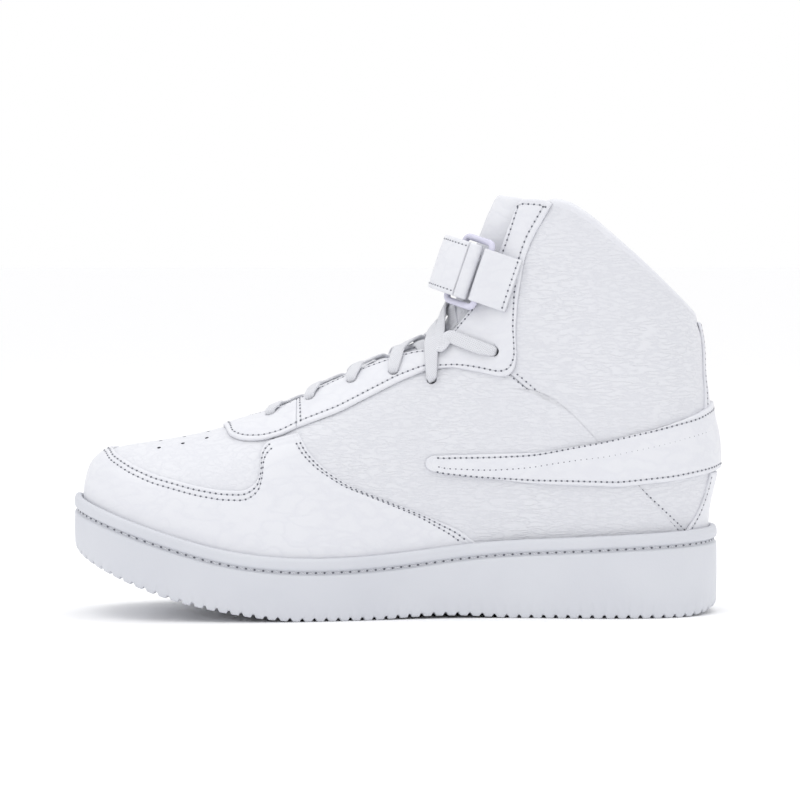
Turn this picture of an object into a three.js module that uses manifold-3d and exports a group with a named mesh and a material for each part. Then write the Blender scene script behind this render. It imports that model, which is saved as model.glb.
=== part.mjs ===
// A right-foot basketball high top with a full lace and a hook-and-loop ankle strap on a plastic ring.
// Millimetres, +Z up. The toe points to -X, and -Y is the medial (inner) side of the foot.
//
// The outer skin of the upper is one closed surface. A station round the shoe is a side and an angle from
// the toe (0) to the heel (180), and a share is a height between the feather edge (0) and the ridge line (1).
// Every layer of the shoe is a shell between two distances from that skin, and every panel is cut out of its
// layer by its outline in the side view, as a pattern cutter works.
import * as THREE from "three";
import { mergeVertices } from "three/addons/utils/BufferGeometryUtils.js";
import Module from "manifold-3d";

const wasm = await Module();
wasm.setup();

// ---------- driving sizes ----------
const soleLength = 300; // a men's US 9, EU 42.5
const ballWidth = 109; // sole, across the ball of the foot
const heelWidth = 80; // sole, across the heel
const collarHeight = 192; // front peak of the collar above the ground
const cupWall = 3.6; // rubber side wall of the cupsole
const cupDepth = 13.5; // how far the upper sits down inside the cup
const outsoleThickness = 5.5; // rubber under the foam wedge
const grooveDrop = 6.6; // stitched groove below the lip of the cup
const grooveDepth = 1.7;
const grooveHeight = 2.2;
const threadThickness = 1.1;
const leather = 1.3; // base panels
const overlay = 1.3; // panels stitched on top of them
const stiffener = 1.0; // toe puff and heel counter
const lining = 0.9;
const collarPad = 5; // foam in the collar
const bindingHeight = 2.6; // rolled edge that stands above the collar panels
const boardThickness = 2; // lasting board the upper is stitched to
const sockThickness = 4.5;
const tongueFace = 1.2;
const tonguePad = 4.6;
const laceWidth = 6;
const laceThickness = 1.8;
const laceHole = 5.2;
const strapWidth = 26;
const strapThickness = 2.2;
const tapeThickness = 1.2; // hook tape, and loop tape
const ringBar = 3; // bar of the plastic ring
const ringLength = 20; // ring, along the strap
const keeperThickness = 1.1;
const gap = 0.35; // clearance between one piece and the next

// ---------- small tools ----------
const halfLength = soleLength / 2;
const stretch = soleLength / 300; // against the size the outlines are given at
const rise = collarHeight / 192;
const { degToRad, lerp, smoothstep } = THREE.MathUtils;
const V3 = (x, y, z) => new THREE.Vector3(x, y, z);
const medial = -1;
const lateral = 1;

// A natural cubic through [x, y] knots.
function spline(knots) {
  const n = knots.length;
  const x = knots.map((k) => k[0]);
  const y = knots.map((k) => k[1]);
  const m = new Array(n).fill(0);
  const c = new Array(n).fill(0);
  const r = new Array(n).fill(0);
  for (let i = 1; i < n - 1; i++) {
    const a = x[i] - x[i - 1];
    const b = x[i + 1] - x[i];
    const w = 2 * (a + b) - a * c[i - 1];
    c[i] = b / w;
    r[i] = (6 * ((y[i + 1] - y[i]) / b - (y[i] - y[i - 1]) / a) - a * r[i - 1]) / w;
  }
  for (let i = n - 2; i > 0; i--) m[i] = r[i] - c[i] * m[i + 1];
  return (t) => {
    const s = Math.min(Math.max(t, x[0]), x[n - 1]);
    let i = 0;
    while (i < n - 2 && s > x[i + 1]) i++;
    const h = x[i + 1] - x[i];
    const p = (x[i + 1] - s) / h;
    const q = 1 - p;
    return p * y[i] + q * y[i + 1] + (((p ** 3 - p) * m[i] + (q ** 3 - q) * m[i + 1]) * h * h) / 6;
  };
}

// ---------- plan of the sole ----------
// Half width is fullness times the sine of the angle, so an even fullness would be an ellipse.
const ball = ballWidth / 2;
const heel = heelWidth / 2;
const fullness = spline([
  [0, 1.42 * ball], [26, 1.44 * ball], [37, 1.34 * ball], [48, 1.22 * ball], [58, 1.14 * ball],
  [67, 1.07 * ball], [76, 0.99 * ball], [90, 0.83 * ball], [105, 0.99 * heel], [122, 1.14 * heel],
  [132, 1.32 * heel], [143, 1.53 * heel], [155, 1.74 * heel], [167, 1.86 * heel], [180, 1.9 * heel],
]);
// The centre line swings to the big toe in front and away from the arch in the waist.
const swing = spline([
  [0, -12], [30, -6.5], [48, -3.2], [66, -0.4], [82, 2.6], [93, 3.6], [108, 3], [125, 1.5], [150, 0.3],
  [180, 0],
]);
const ridgeSwing = spline([[0, -12], [30, -8], [55, -4.5], [75, -1.5], [95, 0], [180, 0]]);

function planPoint(side, angle) {
  const a = degToRad(angle);
  return new THREE.Vector2(-halfLength * Math.cos(a), swing(angle) + side * fullness(angle) * Math.sin(a));
}
function planNormal(side, angle) {
  const step = 0.5;
  if (angle < step) return new THREE.Vector2(-1, 0);
  if (angle > 180 - step) return new THREE.Vector2(1, 0);
  const a = planPoint(side, angle - step);
  const b = planPoint(side, angle + step);
  return new THREE.Vector2(a.y - b.y, b.x - a.x).normalize().multiplyScalar(side);
}
// A point of the sole's plan, moved out by offset and up to z.
function solePoint(side, angle, offset, z) {
  const p = planPoint(side, angle).addScaledVector(planNormal(side, angle), offset);
  return V3(p.x, p.y, z);
}

// ---------- heights by angle ----------
const lip = spline([
  [0, 56.5], [22, 51.5], [45, 40.3], [58.7, 32.8], [70.5, 29.3], [81.6, 29], [90.6, 30.6], [103, 34.4],
  [120, 37], [140, 39], [180, 41],
]);
const tread = spline([
  [0, 33.5], [22, 24.5], [37, 16], [45, 11], [54, 6.3], [63, 2.6], [70, 0.5], [75, -0.3], [84, -0.3],
  [95, 1.2], [103, 1.1], [111, -0.1], [120, -0.3], [141, -0.3], [152, -0.1], [160, 1], [180, 5],
]);
const sole = (angle) => Math.max(0, tread(angle));
const feather = (angle) => lip(angle) - cupDepth;
// Over the laced throat this is the line of the tongue; behind 104 degrees it runs on above the open collar,
// where nothing is kept of it.
const ridge = spline(
  [
    [0, 44], [5, 58], [9, 64.5], [13, 69.2], [18, 73], [23, 75.6], [31, 78.2], [39, 79.8], [46, 81.6],
    [52, 83.8], [57, 86.4], [62.5, 90], [68.6, 94.8], [73, 100], [77.6, 106], [82, 111.6], [86.3, 117],
    [90.5, 122],
    [94.9, 128], [98.5, 137.5], [100.9, 152], [104.9, 180], [110, 212], [116, 238], [125, 252], [135, 252],
    [146, 243], [157, 225], [180, 195],
  ].map(([angle, z]) => [angle, z * rise]),
);
// How square the cross section is: 2 is an ellipse.
const squareness = spline([
  [0, 2.7], [25, 2.5], [45, 2.4], [60, 2.5], [75, 2.6], [90, 2.5], [98, 2.3], [104, 2.15], [112, 2.6],
  [122, 3.6], [135, 4.4], [180, 4.6],
]);
// By height: how far the heel stands behind the feather edge, and how wide the ankle is against the sole.
const byHeight = (knots) => spline(knots.map(([z, value]) => [z * rise, value]));
const heelLine = byHeight([
  [20, 0], [34, 0], [43, 0], [50, 0.7], [55, 1.7], [60, 3], [65, 4.1], [73, 4.2], [83, 3.2], [91, 1.5],
  [101, 0.2], [111, -1.1], [121, -1.6], [130, -2.6], [136, -4], [160, -10], [200, -20],
]);
const ankleWidth = byHeight([
  [20, 1], [34, 1], [43, 1], [52, 1.012], [65, 1.035], [85, 0.995], [105, 0.965], [125, 0.96], [150, 1.0],
  [185, 1.07], [230, 1.1],
]);
const inset = cupWall + gap + overlay + gap; // from the outside of the sole in to the skin

// ---------- the skin of the upper ----------
function skin(side, angle, share) {
  const foot = solePoint(side, angle, -inset, 0);
  const p = squareness(angle);
  const z = lerp(feather(angle), ridge(angle), share);
  const ankle = lerp(1, ankleWidth(z), smoothstep(angle, 92, 130));
  const out = Math.max(1 - share ** p, 0) ** (1 / p) * ankle;
  const back = smoothstep(angle, 112, 178) ** 1.5 * heelLine(z);
  return V3(foot.x + back, lerp(ridgeSwing(angle), foot.y, out), z);
}
function skinNormal(side, angle, share) {
  if (angle < 1) return V3(-1, 0, 0);
  const a = Math.min(Math.max(angle, 1.5), 178.5);
  const v = Math.min(Math.max(share, 0.01), 0.985);
  const along = skin(side, a + 1, v).sub(skin(side, a - 1, v));
  const over = skin(side, a, v + 0.01).sub(skin(side, a, v - 0.01));
  const n = along.cross(over).multiplyScalar(-side);
  if (angle > 179 || share > 0.99) n.y = 0;
  if (share < 0.02) n.z = 0;
  return n.normalize();
}
// Both sides meet at the heel, and at the toe the whole section closes to a point.
function upper(side, angle, share, out) {
  const [s, v] = [angle < 1 || angle > 179 ? medial : side, angle < 1 ? 0 : share];
  return skin(s, angle, v).addScaledVector(skinNormal(s, angle, v), out);
}

// ---------- closed bodies ----------
function bodyOf(geometry) {
  const bare = geometry.clone();
  bare.deleteAttribute("normal");
  bare.deleteAttribute("uv");
  const merged = mergeVertices(bare, 1e-3);
  const index = merged.index.array;
  const faces = [];
  for (let i = 0; i < index.length; i += 3) {
    const [a, b, c] = [index[i], index[i + 1], index[i + 2]];
    if (a !== b && b !== c && a !== c) faces.push([a, b, c]);
  }
  const close = (list) =>
    new wasm.Manifold(
      new wasm.Mesh({
        numProp: 3,
        vertProperties: merged.attributes.position.array,
        triVerts: new Uint32Array(list.flat()),
      }),
    );
  const made = close(faces);
  return made.volume() > 0 ? made : close(faces.map(([a, b, c]) => [a, c, b]));
}
function bodyFrom(points, faces) {
  const g = new THREE.BufferGeometry();
  const flatPoints = points.flatMap((p) => [p.x, p.y, p.z]);
  g.setAttribute("position", new THREE.Float32BufferAttribute(flatPoints, 3));
  g.setIndex(faces.flat());
  return bodyOf(g);
}
// The quads between neighbouring closed sections of equal point count.
// Turned says which of them are split the other way.
function skirt(sections, closed, turned = () => false) {
  const n = sections[0].length;
  const count = sections.length;
  const faces = [];
  for (let k = 0; k < (closed ? count : count - 1); k++) {
    const a = k * n;
    const b = ((k + 1) % count) * n;
    for (let i = 0; i < n; i++) {
      const j = (i + 1) % n;
      if (turned(i)) faces.push([a + i, a + j, b + i], [a + j, b + j, b + i]);
      else faces.push([a + i, a + j, b + j], [a + i, b + j, b + i]);
    }
  }
  return faces;
}
// Sections swept along: convex ends are capped with a fan, and "none" leaves ends that close on themselves.
function sweep(sections, ends = "capped", turned) {
  const n = sections[0].length;
  const last = (sections.length - 1) * n;
  const faces = skirt(sections, ends === "ring", turned);
  if (ends === "capped")
    for (let i = 1; i < n - 1; i++) faces.push([0, i + 1, i], [last, last + i, last + i + 1]);
  return bodyFrom(sections.flat(), faces);
}
// Loops round the shoe stacked one on another, with the first and last closed across from side to side.
function stack(loops) {
  const n = loops[0].length;
  const last = (loops.length - 1) * n;
  const faces = skirt(loops, false);
  for (let a = 0; a < n / 2; a++) {
    const [b, c, d] = [a + 1, n - 1 - a, (n - a) % n];
    for (const f of [[a, d, c], [a, c, b]])
      if (new Set(f).size === 3) faces.push(f, [last + f[0], last + f[2], last + f[1]]);
  }
  return bodyFrom(loops.flat(), faces);
}

// ---------- stations ----------
const angles = [
  0, 7, 14, 22, 30, 38, 46, 54, 62, 70, 78, 85, 91, 95, 98.5, 101, 103.5, 106, 109, 112.5, 117, 124, 132,
  141, 150, 158, 165, 172, 180,
];
const loopStations = [
  ...angles.map((angle) => [medial, angle]),
  ...angles.slice(1, -1).reverse().map((angle) => [lateral, angle]),
];
const loop = (offset, height) =>
  loopStations.map(([side, angle]) => solePoint(side, angle, offset, height(angle)));
// Rows up the side: even steps round the section in front, fixed heights behind.
const foamFoot = 92; // the collar foam starts here, the lining steps in just below
const rearRows = [0, 48, 66, 84, foamFoot, 118, 145, 172, 200, 400];
function rowShare(angle, row) {
  const rows = rearRows.length - 1;
  const front = Math.sin((row / rows) * (Math.PI / 2)) ** (2 / squareness(angle));
  const height = (rearRows[row] * rise - feather(angle)) / (ridge(angle) - feather(angle));
  const rear = Math.max(0, Math.min(front, height));
  return lerp(front, rear, smoothstep(angle, 90, 102));
}
// The whole upper as a shell between two distances from the skin, each a number or a function of angle
// and row.
function shell(inner, outer) {
  const distance = (d, angle, row) => (typeof d === "function" ? d(angle, row) : d);
  const rows = rearRows.map((_, row) => row);
  const arc = [
    ...rows.map((row) => [medial, row]),
    ...rows.slice(0, -1).reverse().map((row) => [lateral, row]),
  ];
  const sections = angles.map((angle) => {
    const spot = (d, side, row) => upper(side, angle, rowShare(angle, row), distance(d, angle, row));
    const face = (d) => arc.map(([side, row]) => spot(d, side, row));
    return [...face(outer), ...face(inner).reverse()];
  });
  // Every layer is split along the same diagonals, so that neighbouring layers stay parallel.
  const top = rows.length - 1;
  return sweep(sections, "none", (i) => i < top || (i > 2 * top && i <= 3 * top));
}

// ---------- outlines ----------
const far = 400;
// Outline points are given from the middle of a 300 mm sole and in height above the ground.
const at = (x, z) => new THREE.Vector2(x * stretch, z * rise);
const line = (...pairs) => pairs.map(([x, z]) => at(x, z));
const moved = (points, x, z) => points.map((p) => new THREE.Vector2(p.x + x, p.y + z));
const back = (points) => points.slice().reverse();
// A block with this outline in the side view, between y0 and y1.
function sideBlock(outline, y0 = -far, y1 = far) {
  const g = new THREE.ExtrudeGeometry(new THREE.Shape(outline), { depth: y1 - y0, bevelEnabled: false });
  g.rotateX(Math.PI / 2);
  g.translate(0, y1, 0);
  return bodyOf(g);
}
// A block behind the middle of the shoe with this outline of [y, z] seen from the rear.
function rearBlock(pairs) {
  const outline = pairs.map(([y, z]) => new THREE.Vector2(y, z * rise));
  const g = new THREE.ExtrudeGeometry(new THREE.Shape(outline), { depth: far, bevelEnabled: false });
  g.rotateX(Math.PI / 2);
  g.rotateZ(Math.PI / 2);
  return bodyOf(g);
}
// A block with this outline in plan, over all heights.
function planBlock(outline) {
  const g = new THREE.ExtrudeGeometry(new THREE.Shape(outline), { depth: far, bevelEnabled: false });
  return bodyOf(g);
}
const half = (side, outline) =>
  side === medial ? sideBlock(outline, -far, -gap / 2) : sideBlock(outline, gap / 2, far);

// The throat in plan is a slot about the ridge that widens from the vamp up to the ankle.
const angleAt = (x) => THREE.MathUtils.radToDeg(Math.acos(-x / halfLength));
const throatCentre = (x) => ridgeSwing(angleAt(x));
const throatWidths = spline([
  [-62, 5.5], [-56, 9], [-40, 10.5], [-10, 11.5], [10, 13.5], [25, 17], [45, 20], [70, 22],
]);
const throatHalf = (x) => throatWidths(x / stretch);
// Room is how far the cut stands back from the throat's edge.
function throat(room) {
  const xs = [-62, -56, -48, -30, -10, 10, 25, 45, 70].map((x) => x * stretch);
  const front = -50 * stretch; // in front of this the cut stands back along the shoe as well
  const backOff = (x) => (x < front ? x - room * 0.8 : x);
  const edge = (side) =>
    xs.map((x) => new THREE.Vector2(backOff(x), throatCentre(x) + side * (throatHalf(x) + room)));
  const tip = new THREE.Vector2(-66 * stretch - room, throatCentre(-66 * stretch));
  return planBlock([tip, ...edge(medial), ...back(edge(lateral))]);
}

// ---------- the scene ----------
const group = new THREE.Group();
function geometryOf(body) {
  const mesh = body.getMesh();
  const position = new Float32Array(mesh.numVert * 3);
  for (let i = 0; i < mesh.numVert; i++) {
    position.set(mesh.vertProperties.subarray(i * mesh.numProp, i * mesh.numProp + 3), i * 3);
  }
  const g = new THREE.BufferGeometry();
  g.setAttribute("position", new THREE.BufferAttribute(position, 3));
  g.setIndex(new THREE.BufferAttribute(mesh.triVerts, 1));
  return g;
}
function add(name, body, colour, roughness) {
  const material = new THREE.MeshStandardMaterial({ color: colour, roughness, metalness: 0 });
  const node = new THREE.Mesh(geometryOf(body), material);
  node.name = name;
  group.add(node);
}
const white = 0xf3f3f4;
const rubberWhite = 0xe9ecf0;
const foamWhite = 0xe6e4de;
const boardCream = 0xd9d2c3;
const meshGrey = 0xe4e5e8;

// ---------- cupsole ----------
const grooveTop = (angle) => lip(angle) - grooveDrop + grooveHeight / 2;
const grooveFoot = (angle) => lip(angle) - grooveDrop - grooveHeight / 2;
const cupFloor = (angle) => sole(angle) + outsoleThickness;
function cupsole() {
  return stack([
    loop(-1.6, sole),
    loop(-0.3, (angle) => sole(angle) + 3),
    loop(0, (angle) => lerp(sole(angle) + 3, grooveFoot(angle), 0.5)),
    loop(-0.3, grooveFoot),
    loop(-grooveDepth, grooveFoot),
    loop(-grooveDepth, grooveTop),
    loop(-0.1, grooveTop),
    loop(-0.1, (angle) => lip(angle) - 2),
    loop(-1.3, lip),
    loop(-cupWall, lip),
    loop(-cupWall, cupFloor),
  ]);
}
function grooveThread() {
  const r = threadThickness / 2;
  const sections = loopStations.map(([side, angle]) => {
    const out = planNormal(side, angle);
    const centre = solePoint(side, angle, -0.85, lip(angle) - grooveDrop);
    return [0, 1, 2, 3].map((k) => {
      const turn = (k * Math.PI) / 2;
      const u = r * Math.cos(turn);
      return centre.clone().add(V3(out.x * u, out.y * u, r * Math.sin(turn)));
    });
  });
  return sweep(sections, "ring");
}
const wedgeTop = (angle) => feather(angle) - gap;
const wedgeFoot = (angle) => cupFloor(angle) + gap;
const wedge = () => stack([loop(-cupWall - gap, wedgeFoot), loop(-cupWall - gap, wedgeTop)]);

// ---------- inside the foot ----------
const liningOut = -(leather + gap + stiffener + gap);
const paddedOut = -(leather + gap + collarPad + gap);
const liningDistance = (angle, row) => (row >= 4 && angle > 110 ? paddedOut : liningOut);
const boardOffset = -(inset - liningOut + lining + gap);
const boardTop = (angle) => feather(angle) + boardThickness;
const board = () => stack([loop(boardOffset, feather), loop(boardOffset, boardTop)]);
const sockEdge = boardOffset - 0.8;
const sockFoot = (angle) => boardTop(angle) + gap;
const sockliner = () =>
  stack([loop(sockEdge, sockFoot), loop(sockEdge, (angle) => sockFoot(angle) + sockThickness)]);

// ---------- panel outlines ----------
const ground = 12;
const sky = 260;
const collar = line(
  [44, 181], [48.3, 186.4], [51.6, 189.8], [57.7, 192.4], [64.7, 192], [72.7, 190], [78.8, 188.6],
  [88.1, 182.6], [95.2, 176.8], [113.9, 161.2], [132.7, 144.6], [139.7, 137.9], [150, 135.5],
);
const belowCollar = (front) => [...collar, at(170, 135), at(170, ground), at(front, ground)];
const underCollar = sideBlock([
  at(-170, sky), at(30, sky), ...collar, at(170, 135), at(170, ground), at(-170, ground),
]);
const toeSeam = line([-60, sky], [-57, 95], [-55, 75], [-42, 50], [-30, ground]);
const quarterSeam = line(
  [-10, 168], [40, 123], [53.9, 110.2], [91.4, 77.8], [108.3, 60], [130.3, 39.4], [156, ground],
);
const cutOut = line(
  [-136, 84], [-129.8, 75.5], [-120.5, 69.8], [-111, 66.1], [-92.3, 61.4], [-80.6, 59.5], [-68.9, 59],
  [-63.3, 63.3], [-62.3, 70], [-63.3, 74.5], [-66, 79.6],
);
const overlayRear = line(
  [-45.1, 84.9], [-40.1, 75.7], [-33, 68.6], [-20.8, 60.5], [-8, 55.4], [11.9, 47.6], [28.6, 40.3], [42, 30],
  [58, ground],
);
const bowEdge = line([-83, 92], [-79.2, 83.9], [-71.3, 81.1], [-61.9, 81.6], [-46, 87]);
const eyestayEdge = line(
  [-46, 87], [-26.7, 94.2], [1.4, 108.3], [15.5, 113.9], [24.8, 114.8], [38.9, 112.5], [48.3, 110.2],
  [53, 111.6],
  [55.3, 117.7], [54.8, 131.7], [55.8, 145.8], [58.6, 163.6], [62.3, 173.9], [68.4, 184.7], [73.5, 191],
);

// ---------- base panels ----------
const openThroat = throat(0);
const baseShell = shell(-leather, 0);
const base = baseShell.subtract(openThroat).intersect(underCollar);
const toeBox = base.intersect(sideBlock([...toeSeam, at(-170, ground), at(-170, sky)]));
const quarterOutline = [...moved(toeSeam, gap, 0), ...back(quarterSeam), at(-10, sky)];
const ankleOutline = [...moved(quarterSeam, 0, gap), at(170, ground), at(170, sky), at(-10, sky)];

// ---------- overlays ----------
const overlayShell = shell(gap, gap + overlay).subtract(openThroat).intersect(underCollar);
const mudguard = overlayShell.intersect(
  sideBlock([
    at(-170, ground), at(-170, sky), at(-136, sky), ...cutOut, ...moved(bowEdge.slice(4), 0, -gap),
    ...overlayRear,
  ]),
);
const bow = overlayShell.intersect(sideBlock([at(-83, sky), ...bowEdge, at(-46, sky)]));
const eyestayOutline = [...moved(eyestayEdge, gap, 0), at(73.5, sky), at(-46 + gap, sky)];
const backstayEdge = [[14, 95.2], [9, 108], [6, 124], [8, 142]];
const backstay = overlayShell.intersect(
  rearBlock([...backstayEdge, ...back(backstayEdge).map(([y, z]) => [-y, z])]),
);
const foxingEdge = line([144.6, 65.4], [142.4, 56], [138.8, 47.6], [133.3, 39.8], [120, 20]);
const cup = cupsole();
const foxing = overlayShell
  .intersect(sideBlock([...foxingEdge, at(170, 20), at(170, 65.4)]))
  .subtract(cup); // trimmed to the lip of the cup
const wrapShell = shell(2 * gap + overlay, 2 * gap + 2 * overlay);
const heelWrap = wrapShell.intersect(
  sideBlock([
    ...line([17, 74.6], [40, 75.2], [65.2, 75.5], [95, 79], [120, 85.5], [138.5, 93.6], [150, 99.5]),
    at(170, 101), at(170, 68),
    ...line([151, 67.5], [128, 63], [101.9, 60.4], [65.2, 61.4], [35, 64.2], [17, 67]),
    ...line([13.8, 68.2], [12.5, 71], [13.8, 73.6]),
  ]),
);

// ---------- inner layers ----------
const stiffenerShell = shell(-(leather + gap + stiffener), -(leather + gap));
const toePuff = stiffenerShell.intersect(
  sideBlock(line([-170, ground], [-170, sky], [-116, sky], [-116, ground])),
);
const heelCounter = stiffenerShell.intersect(
  sideBlock(line([86, ground], [90, 62], [112, 88], [170, 88], [170, ground])),
);
const foamOutline = [at(68, foamFoot + 1), at(68, 196), at(77, sky), at(170, sky), at(170, foamFoot + 1)];
const collarFoam = shell(-(leather + gap + collarPad), -(leather + gap))
  .intersect(underCollar)
  .intersect(sideBlock(foamOutline));
const liningInner = (angle, row) => liningDistance(angle, row) - lining;
const liningShell = shell(liningInner, liningDistance).intersect(underCollar);
const laceRoom = throat(15); // the lining stops short of the lace holes
const vampLining = liningShell
  .subtract(laceRoom)
  .intersect(sideBlock(line([-170, ground], [-170, sky], [-46, sky], [-46, ground])));
const quarterLining = liningShell.intersect(
  sideBlock([
    ...moved(line([-46, ground], [-46, 80]), gap, 0),
    ...line([-27, 88], [1.4, 102], [15, 106], [40, 103], [68, 102], [68, sky], [170, sky], [170, ground]),
  ]),
);
const rolledEdge = [at(66, 191.8), ...collar.slice(5)];
const binding = shell(paddedOut - lining, 0).intersect(
  sideBlock([...moved(rolledEdge, 0, gap), ...back(moved(rolledEdge, 0, gap + bindingHeight))]),
);

// ---------- tongue ----------
const laceRise = laceThickness - 1.8; // a thicker lace presses the tongue down by this
const tongueOut = liningOut - lining - 2 * gap - laceRise;
const tongueCrest = 2; // the tongue rises this much in the middle of the throat
const rows = rearRows.length - 1;
const tongueDistance = (angle, row) => tongueOut + (row === rows ? tongueCrest + laceRise : 0);
const tongueEdge = line(
  [-76, 72], [-45, 84], [-20, 97], [0, 107], [20, 120], [34, 138], [44, 158], [52, 178], [62, 194],
);
const tongueOutline = [...tongueEdge, ...line([60, 197.6], [52, 197.3], [44, 190], [30, 194]), at(-76, 194)];
function tongueLayer(from, to) {
  const under = (distance) => (angle, row) => tongueDistance(angle, row) - distance;
  return shell(under(to), under(from)).intersect(sideBlock(tongueOutline));
}

// ---------- lace ----------
const skinMesh = new THREE.Mesh(geometryOf(baseShell));
function landing(from, towards) {
  const [hit] = new THREE.Raycaster(from, towards).intersectObject(skinMesh);
  return { point: hit.point, normal: hit.face.normal.clone() };
}
const fromSide = (side, x, z) => landing(V3(x * stretch, side * far, z * rise), V3(0, -side, 0));
const fromAbove = (x, y) => landing(V3(x, y, far), V3(0, 0, -1));
const out = (spot, distance) => spot.point.clone().addScaledVector(spot.normal, distance);

const holeXs = [-58, -39.5, -20.5, -1.5, 16];
const topHole = [45, 122.3];
const holeRow = 7; // from the edge of the throat to the holes
function holeSpot(side, k) {
  if (k === holeXs.length) return fromSide(side, ...topHole);
  const x = holeXs[k] * stretch;
  return fromAbove(x, throatCentre(x) + side * (throatHalf(x) + holeRow));
}
function punch(spot, diameter) {
  const g = new THREE.CylinderGeometry(diameter / 2, diameter / 2, 12, diameter > 3 ? 10 : 5);
  g.applyQuaternion(new THREE.Quaternion().setFromUnitVectors(V3(0, 1, 0), spot.normal));
  g.translate(spot.point.x, spot.point.y, spot.point.z);
  return bodyOf(g);
}
const holes = [medial, lateral].flatMap((side) =>
  [...holeXs, topHole].map((_, k) => punch(holeSpot(side, k), laceHole)),
);
const punched = (body) => holes.reduce((left, hole) => left.subtract(hole), body);

const laceUnder = -(leather + 1.5 * gap + laceThickness / 2);
const laceOver = gap + overlay + 2.5 * gap + laceThickness / 2;
const tongueDrop = 1.8; // the laces cross on the tongue, this far under the ridge
const topSlack = 0.6; // the long top runs lie this much looser
const flat = [laceWidth, laceThickness];
const bunched = [3.6, 2.3]; // the lace is squeezed to this in a hole
const leaving = [4.6, 1.9];
// A station of the lace: its middle, the surface under it, and its width and thickness.
const station = (spot, distance, size = flat) => ({ middle: out(spot, distance), normal: spot.normal, size });
// The crossing from hole k on one side to the next hole on the other, over or under the lace it meets.
const crossings = [0, 1, 2, 3].map((k) =>
  [0.12, 0.88].map((share) => lerp(holeXs[k], holeXs[k + 1], share)),
);
crossings.push([17, 20], [21.5, 25.5]);
function cross(side, k, isOver) {
  const [xa, xb] = crossings[k].map((x) => x * stretch);
  const onTongue = laceThickness / 2 - tongueDrop;
  const low = [0.3, 0.15, 0].map((slack) => onTongue + slack);
  const heights = isOver ? low.map((height, i) => height + laceThickness + [0.5, 0.45, 0.4][i]) : low;
  const spotAt = (t, y) => {
    const x = lerp(xa, xb, t);
    return fromAbove(x, throatCentre(x) + side * y);
  };
  const [wa, wb] = [throatHalf(xa), throatHalf(xb)];
  const dive = k < holeXs.length ? flat : leaving;
  return [
    station(spotAt(0, wa + 1.6), laceOver + (k < 4 ? 0 : topSlack)),
    station(spotAt(0.06, wa - 1.4), laceOver + (k < 4 ? -0.2 : topSlack)),
    station(spotAt(0.27, 5), heights[0]),
    station(spotAt(0.5, 0), heights[1]),
    station(spotAt(0.73, -5), heights[2]),
    station(spotAt(0.94, 1.3 - wb), laceUnder, dive),
    station(spotAt(1, -wb - 2), laceUnder, dive),
  ];
}
function strand(start) {
  const path = [];
  const last = holeXs.length;
  for (let k = 0; k <= last; k++) {
    const side = k % 2 ? -start : start;
    const hole = holeSpot(side, k);
    if (k === last) {
      for (const [x, z] of [[28, 128], [36, 124.5]]) {
        path.push(station(fromSide(side, x, z), laceUnder - 0.3, leaving));
      }
    }
    path.push(station(hole, laceUnder, bunched), station(hole, 0.2, bunched));
    path.push(station(hole, laceOver + 0.3, leaving));
    if (k === last) {
      for (const [x, z] of [[38, 124], [31, 126.5], [26, 128.5]]) {
        path.push(station(fromSide(side, x, z), laceOver + topSlack));
      }
    }
    path.push(...cross(side, k, (k % 2 === 0) === (start === medial)));
  }
  const tucked = last % 2 ? start : -start;
  path.push(station(fromSide(tucked, 31, 146), laceUnder));
  return path;
}
const below = (list, i) => list[Math.max(i - 1, 0)];
const above = (list, i) => list[Math.min(i + 1, list.length - 1)];
// Up the row of holes, along the ridge.
function upTheRow(x) {
  const angle = Math.min(angleAt(x), 100);
  const step = 2;
  const forward = halfLength * (Math.cos(degToRad(angle)) - Math.cos(degToRad(angle + step)));
  return V3(forward, 0, ridge(angle + step) - ridge(angle));
}
function lace() {
  const barX = holeXs[0] * stretch;
  const edge = throatHalf(barX) + 1;
  const bar = [[-edge, laceUnder], [0, -1.2], [edge, laceUnder]].map(([y, distance]) =>
    station(fromAbove(barX, throatCentre(barX) + y), distance),
  );
  const path = [...strand(medial).reverse(), ...bar, ...strand(lateral)];
  const sections = path.map(({ middle, normal, size: [width, thickness] }, i) => {
    const tangent = above(path, i).middle.clone().sub(below(path, i).middle).normalize();
    const upRow = upTheRow(middle.x);
    const flatWay = normal.clone().cross(tangent);
    const wide = flatWay.length() > 0.75 ? flatWay.multiplyScalar(Math.sign(flatWay.dot(upRow))) : upRow;
    wide.addScaledVector(tangent, -wide.dot(tangent)).normalize();
    const through = tangent.clone().cross(wide);
    const corner = (u, v) =>
      middle.clone().addScaledVector(wide, (u * width) / 2).addScaledVector(through, (v * thickness) / 2);
    return [corner(-1, -1), corner(1, -1), corner(1, 1), corner(-1, 1)];
  });
  return sweep(sections);
}

// ---------- ankle strap ----------
// Everything on the strap is placed by its distance round the ankle from the front, lateral side positive,
// and by its distance out from the skin.
const lean = degToRad(18.6);
const across = V3(Math.sin(lean), 0, Math.cos(lean)); // along the strap's width
const strapFoot = V3(25.354 * stretch, 0, 148.179 * rise); // its lower edge in front, just over the lace
const strapFront = strapFoot.clone().addScaledVector(across, strapWidth / 2);
function ankleSection(side) {
  const points = [];
  for (let angle = 130; angle > 97; angle -= 1.5) {
    const x = skin(side, angle, 0.9).x;
    const z = strapFront.z - (x - strapFront.x) * Math.tan(lean);
    const share = (z - feather(angle)) / (ridge(angle) - feather(angle));
    if (share < 0.985) points.push(skin(side, angle, share));
  }
  return points;
}
const ankleCurve = new THREE.CatmullRomCurve3([
  ...ankleSection(medial), strapFront, ...ankleSection(lateral).reverse(),
]);
const frontAt = (() => {
  const lengths = ankleCurve.getLengths(400);
  const count = ankleCurve.points.length;
  return lengths[Math.round((ankleSection(medial).length / (count - 1)) * 400)];
})();
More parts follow.
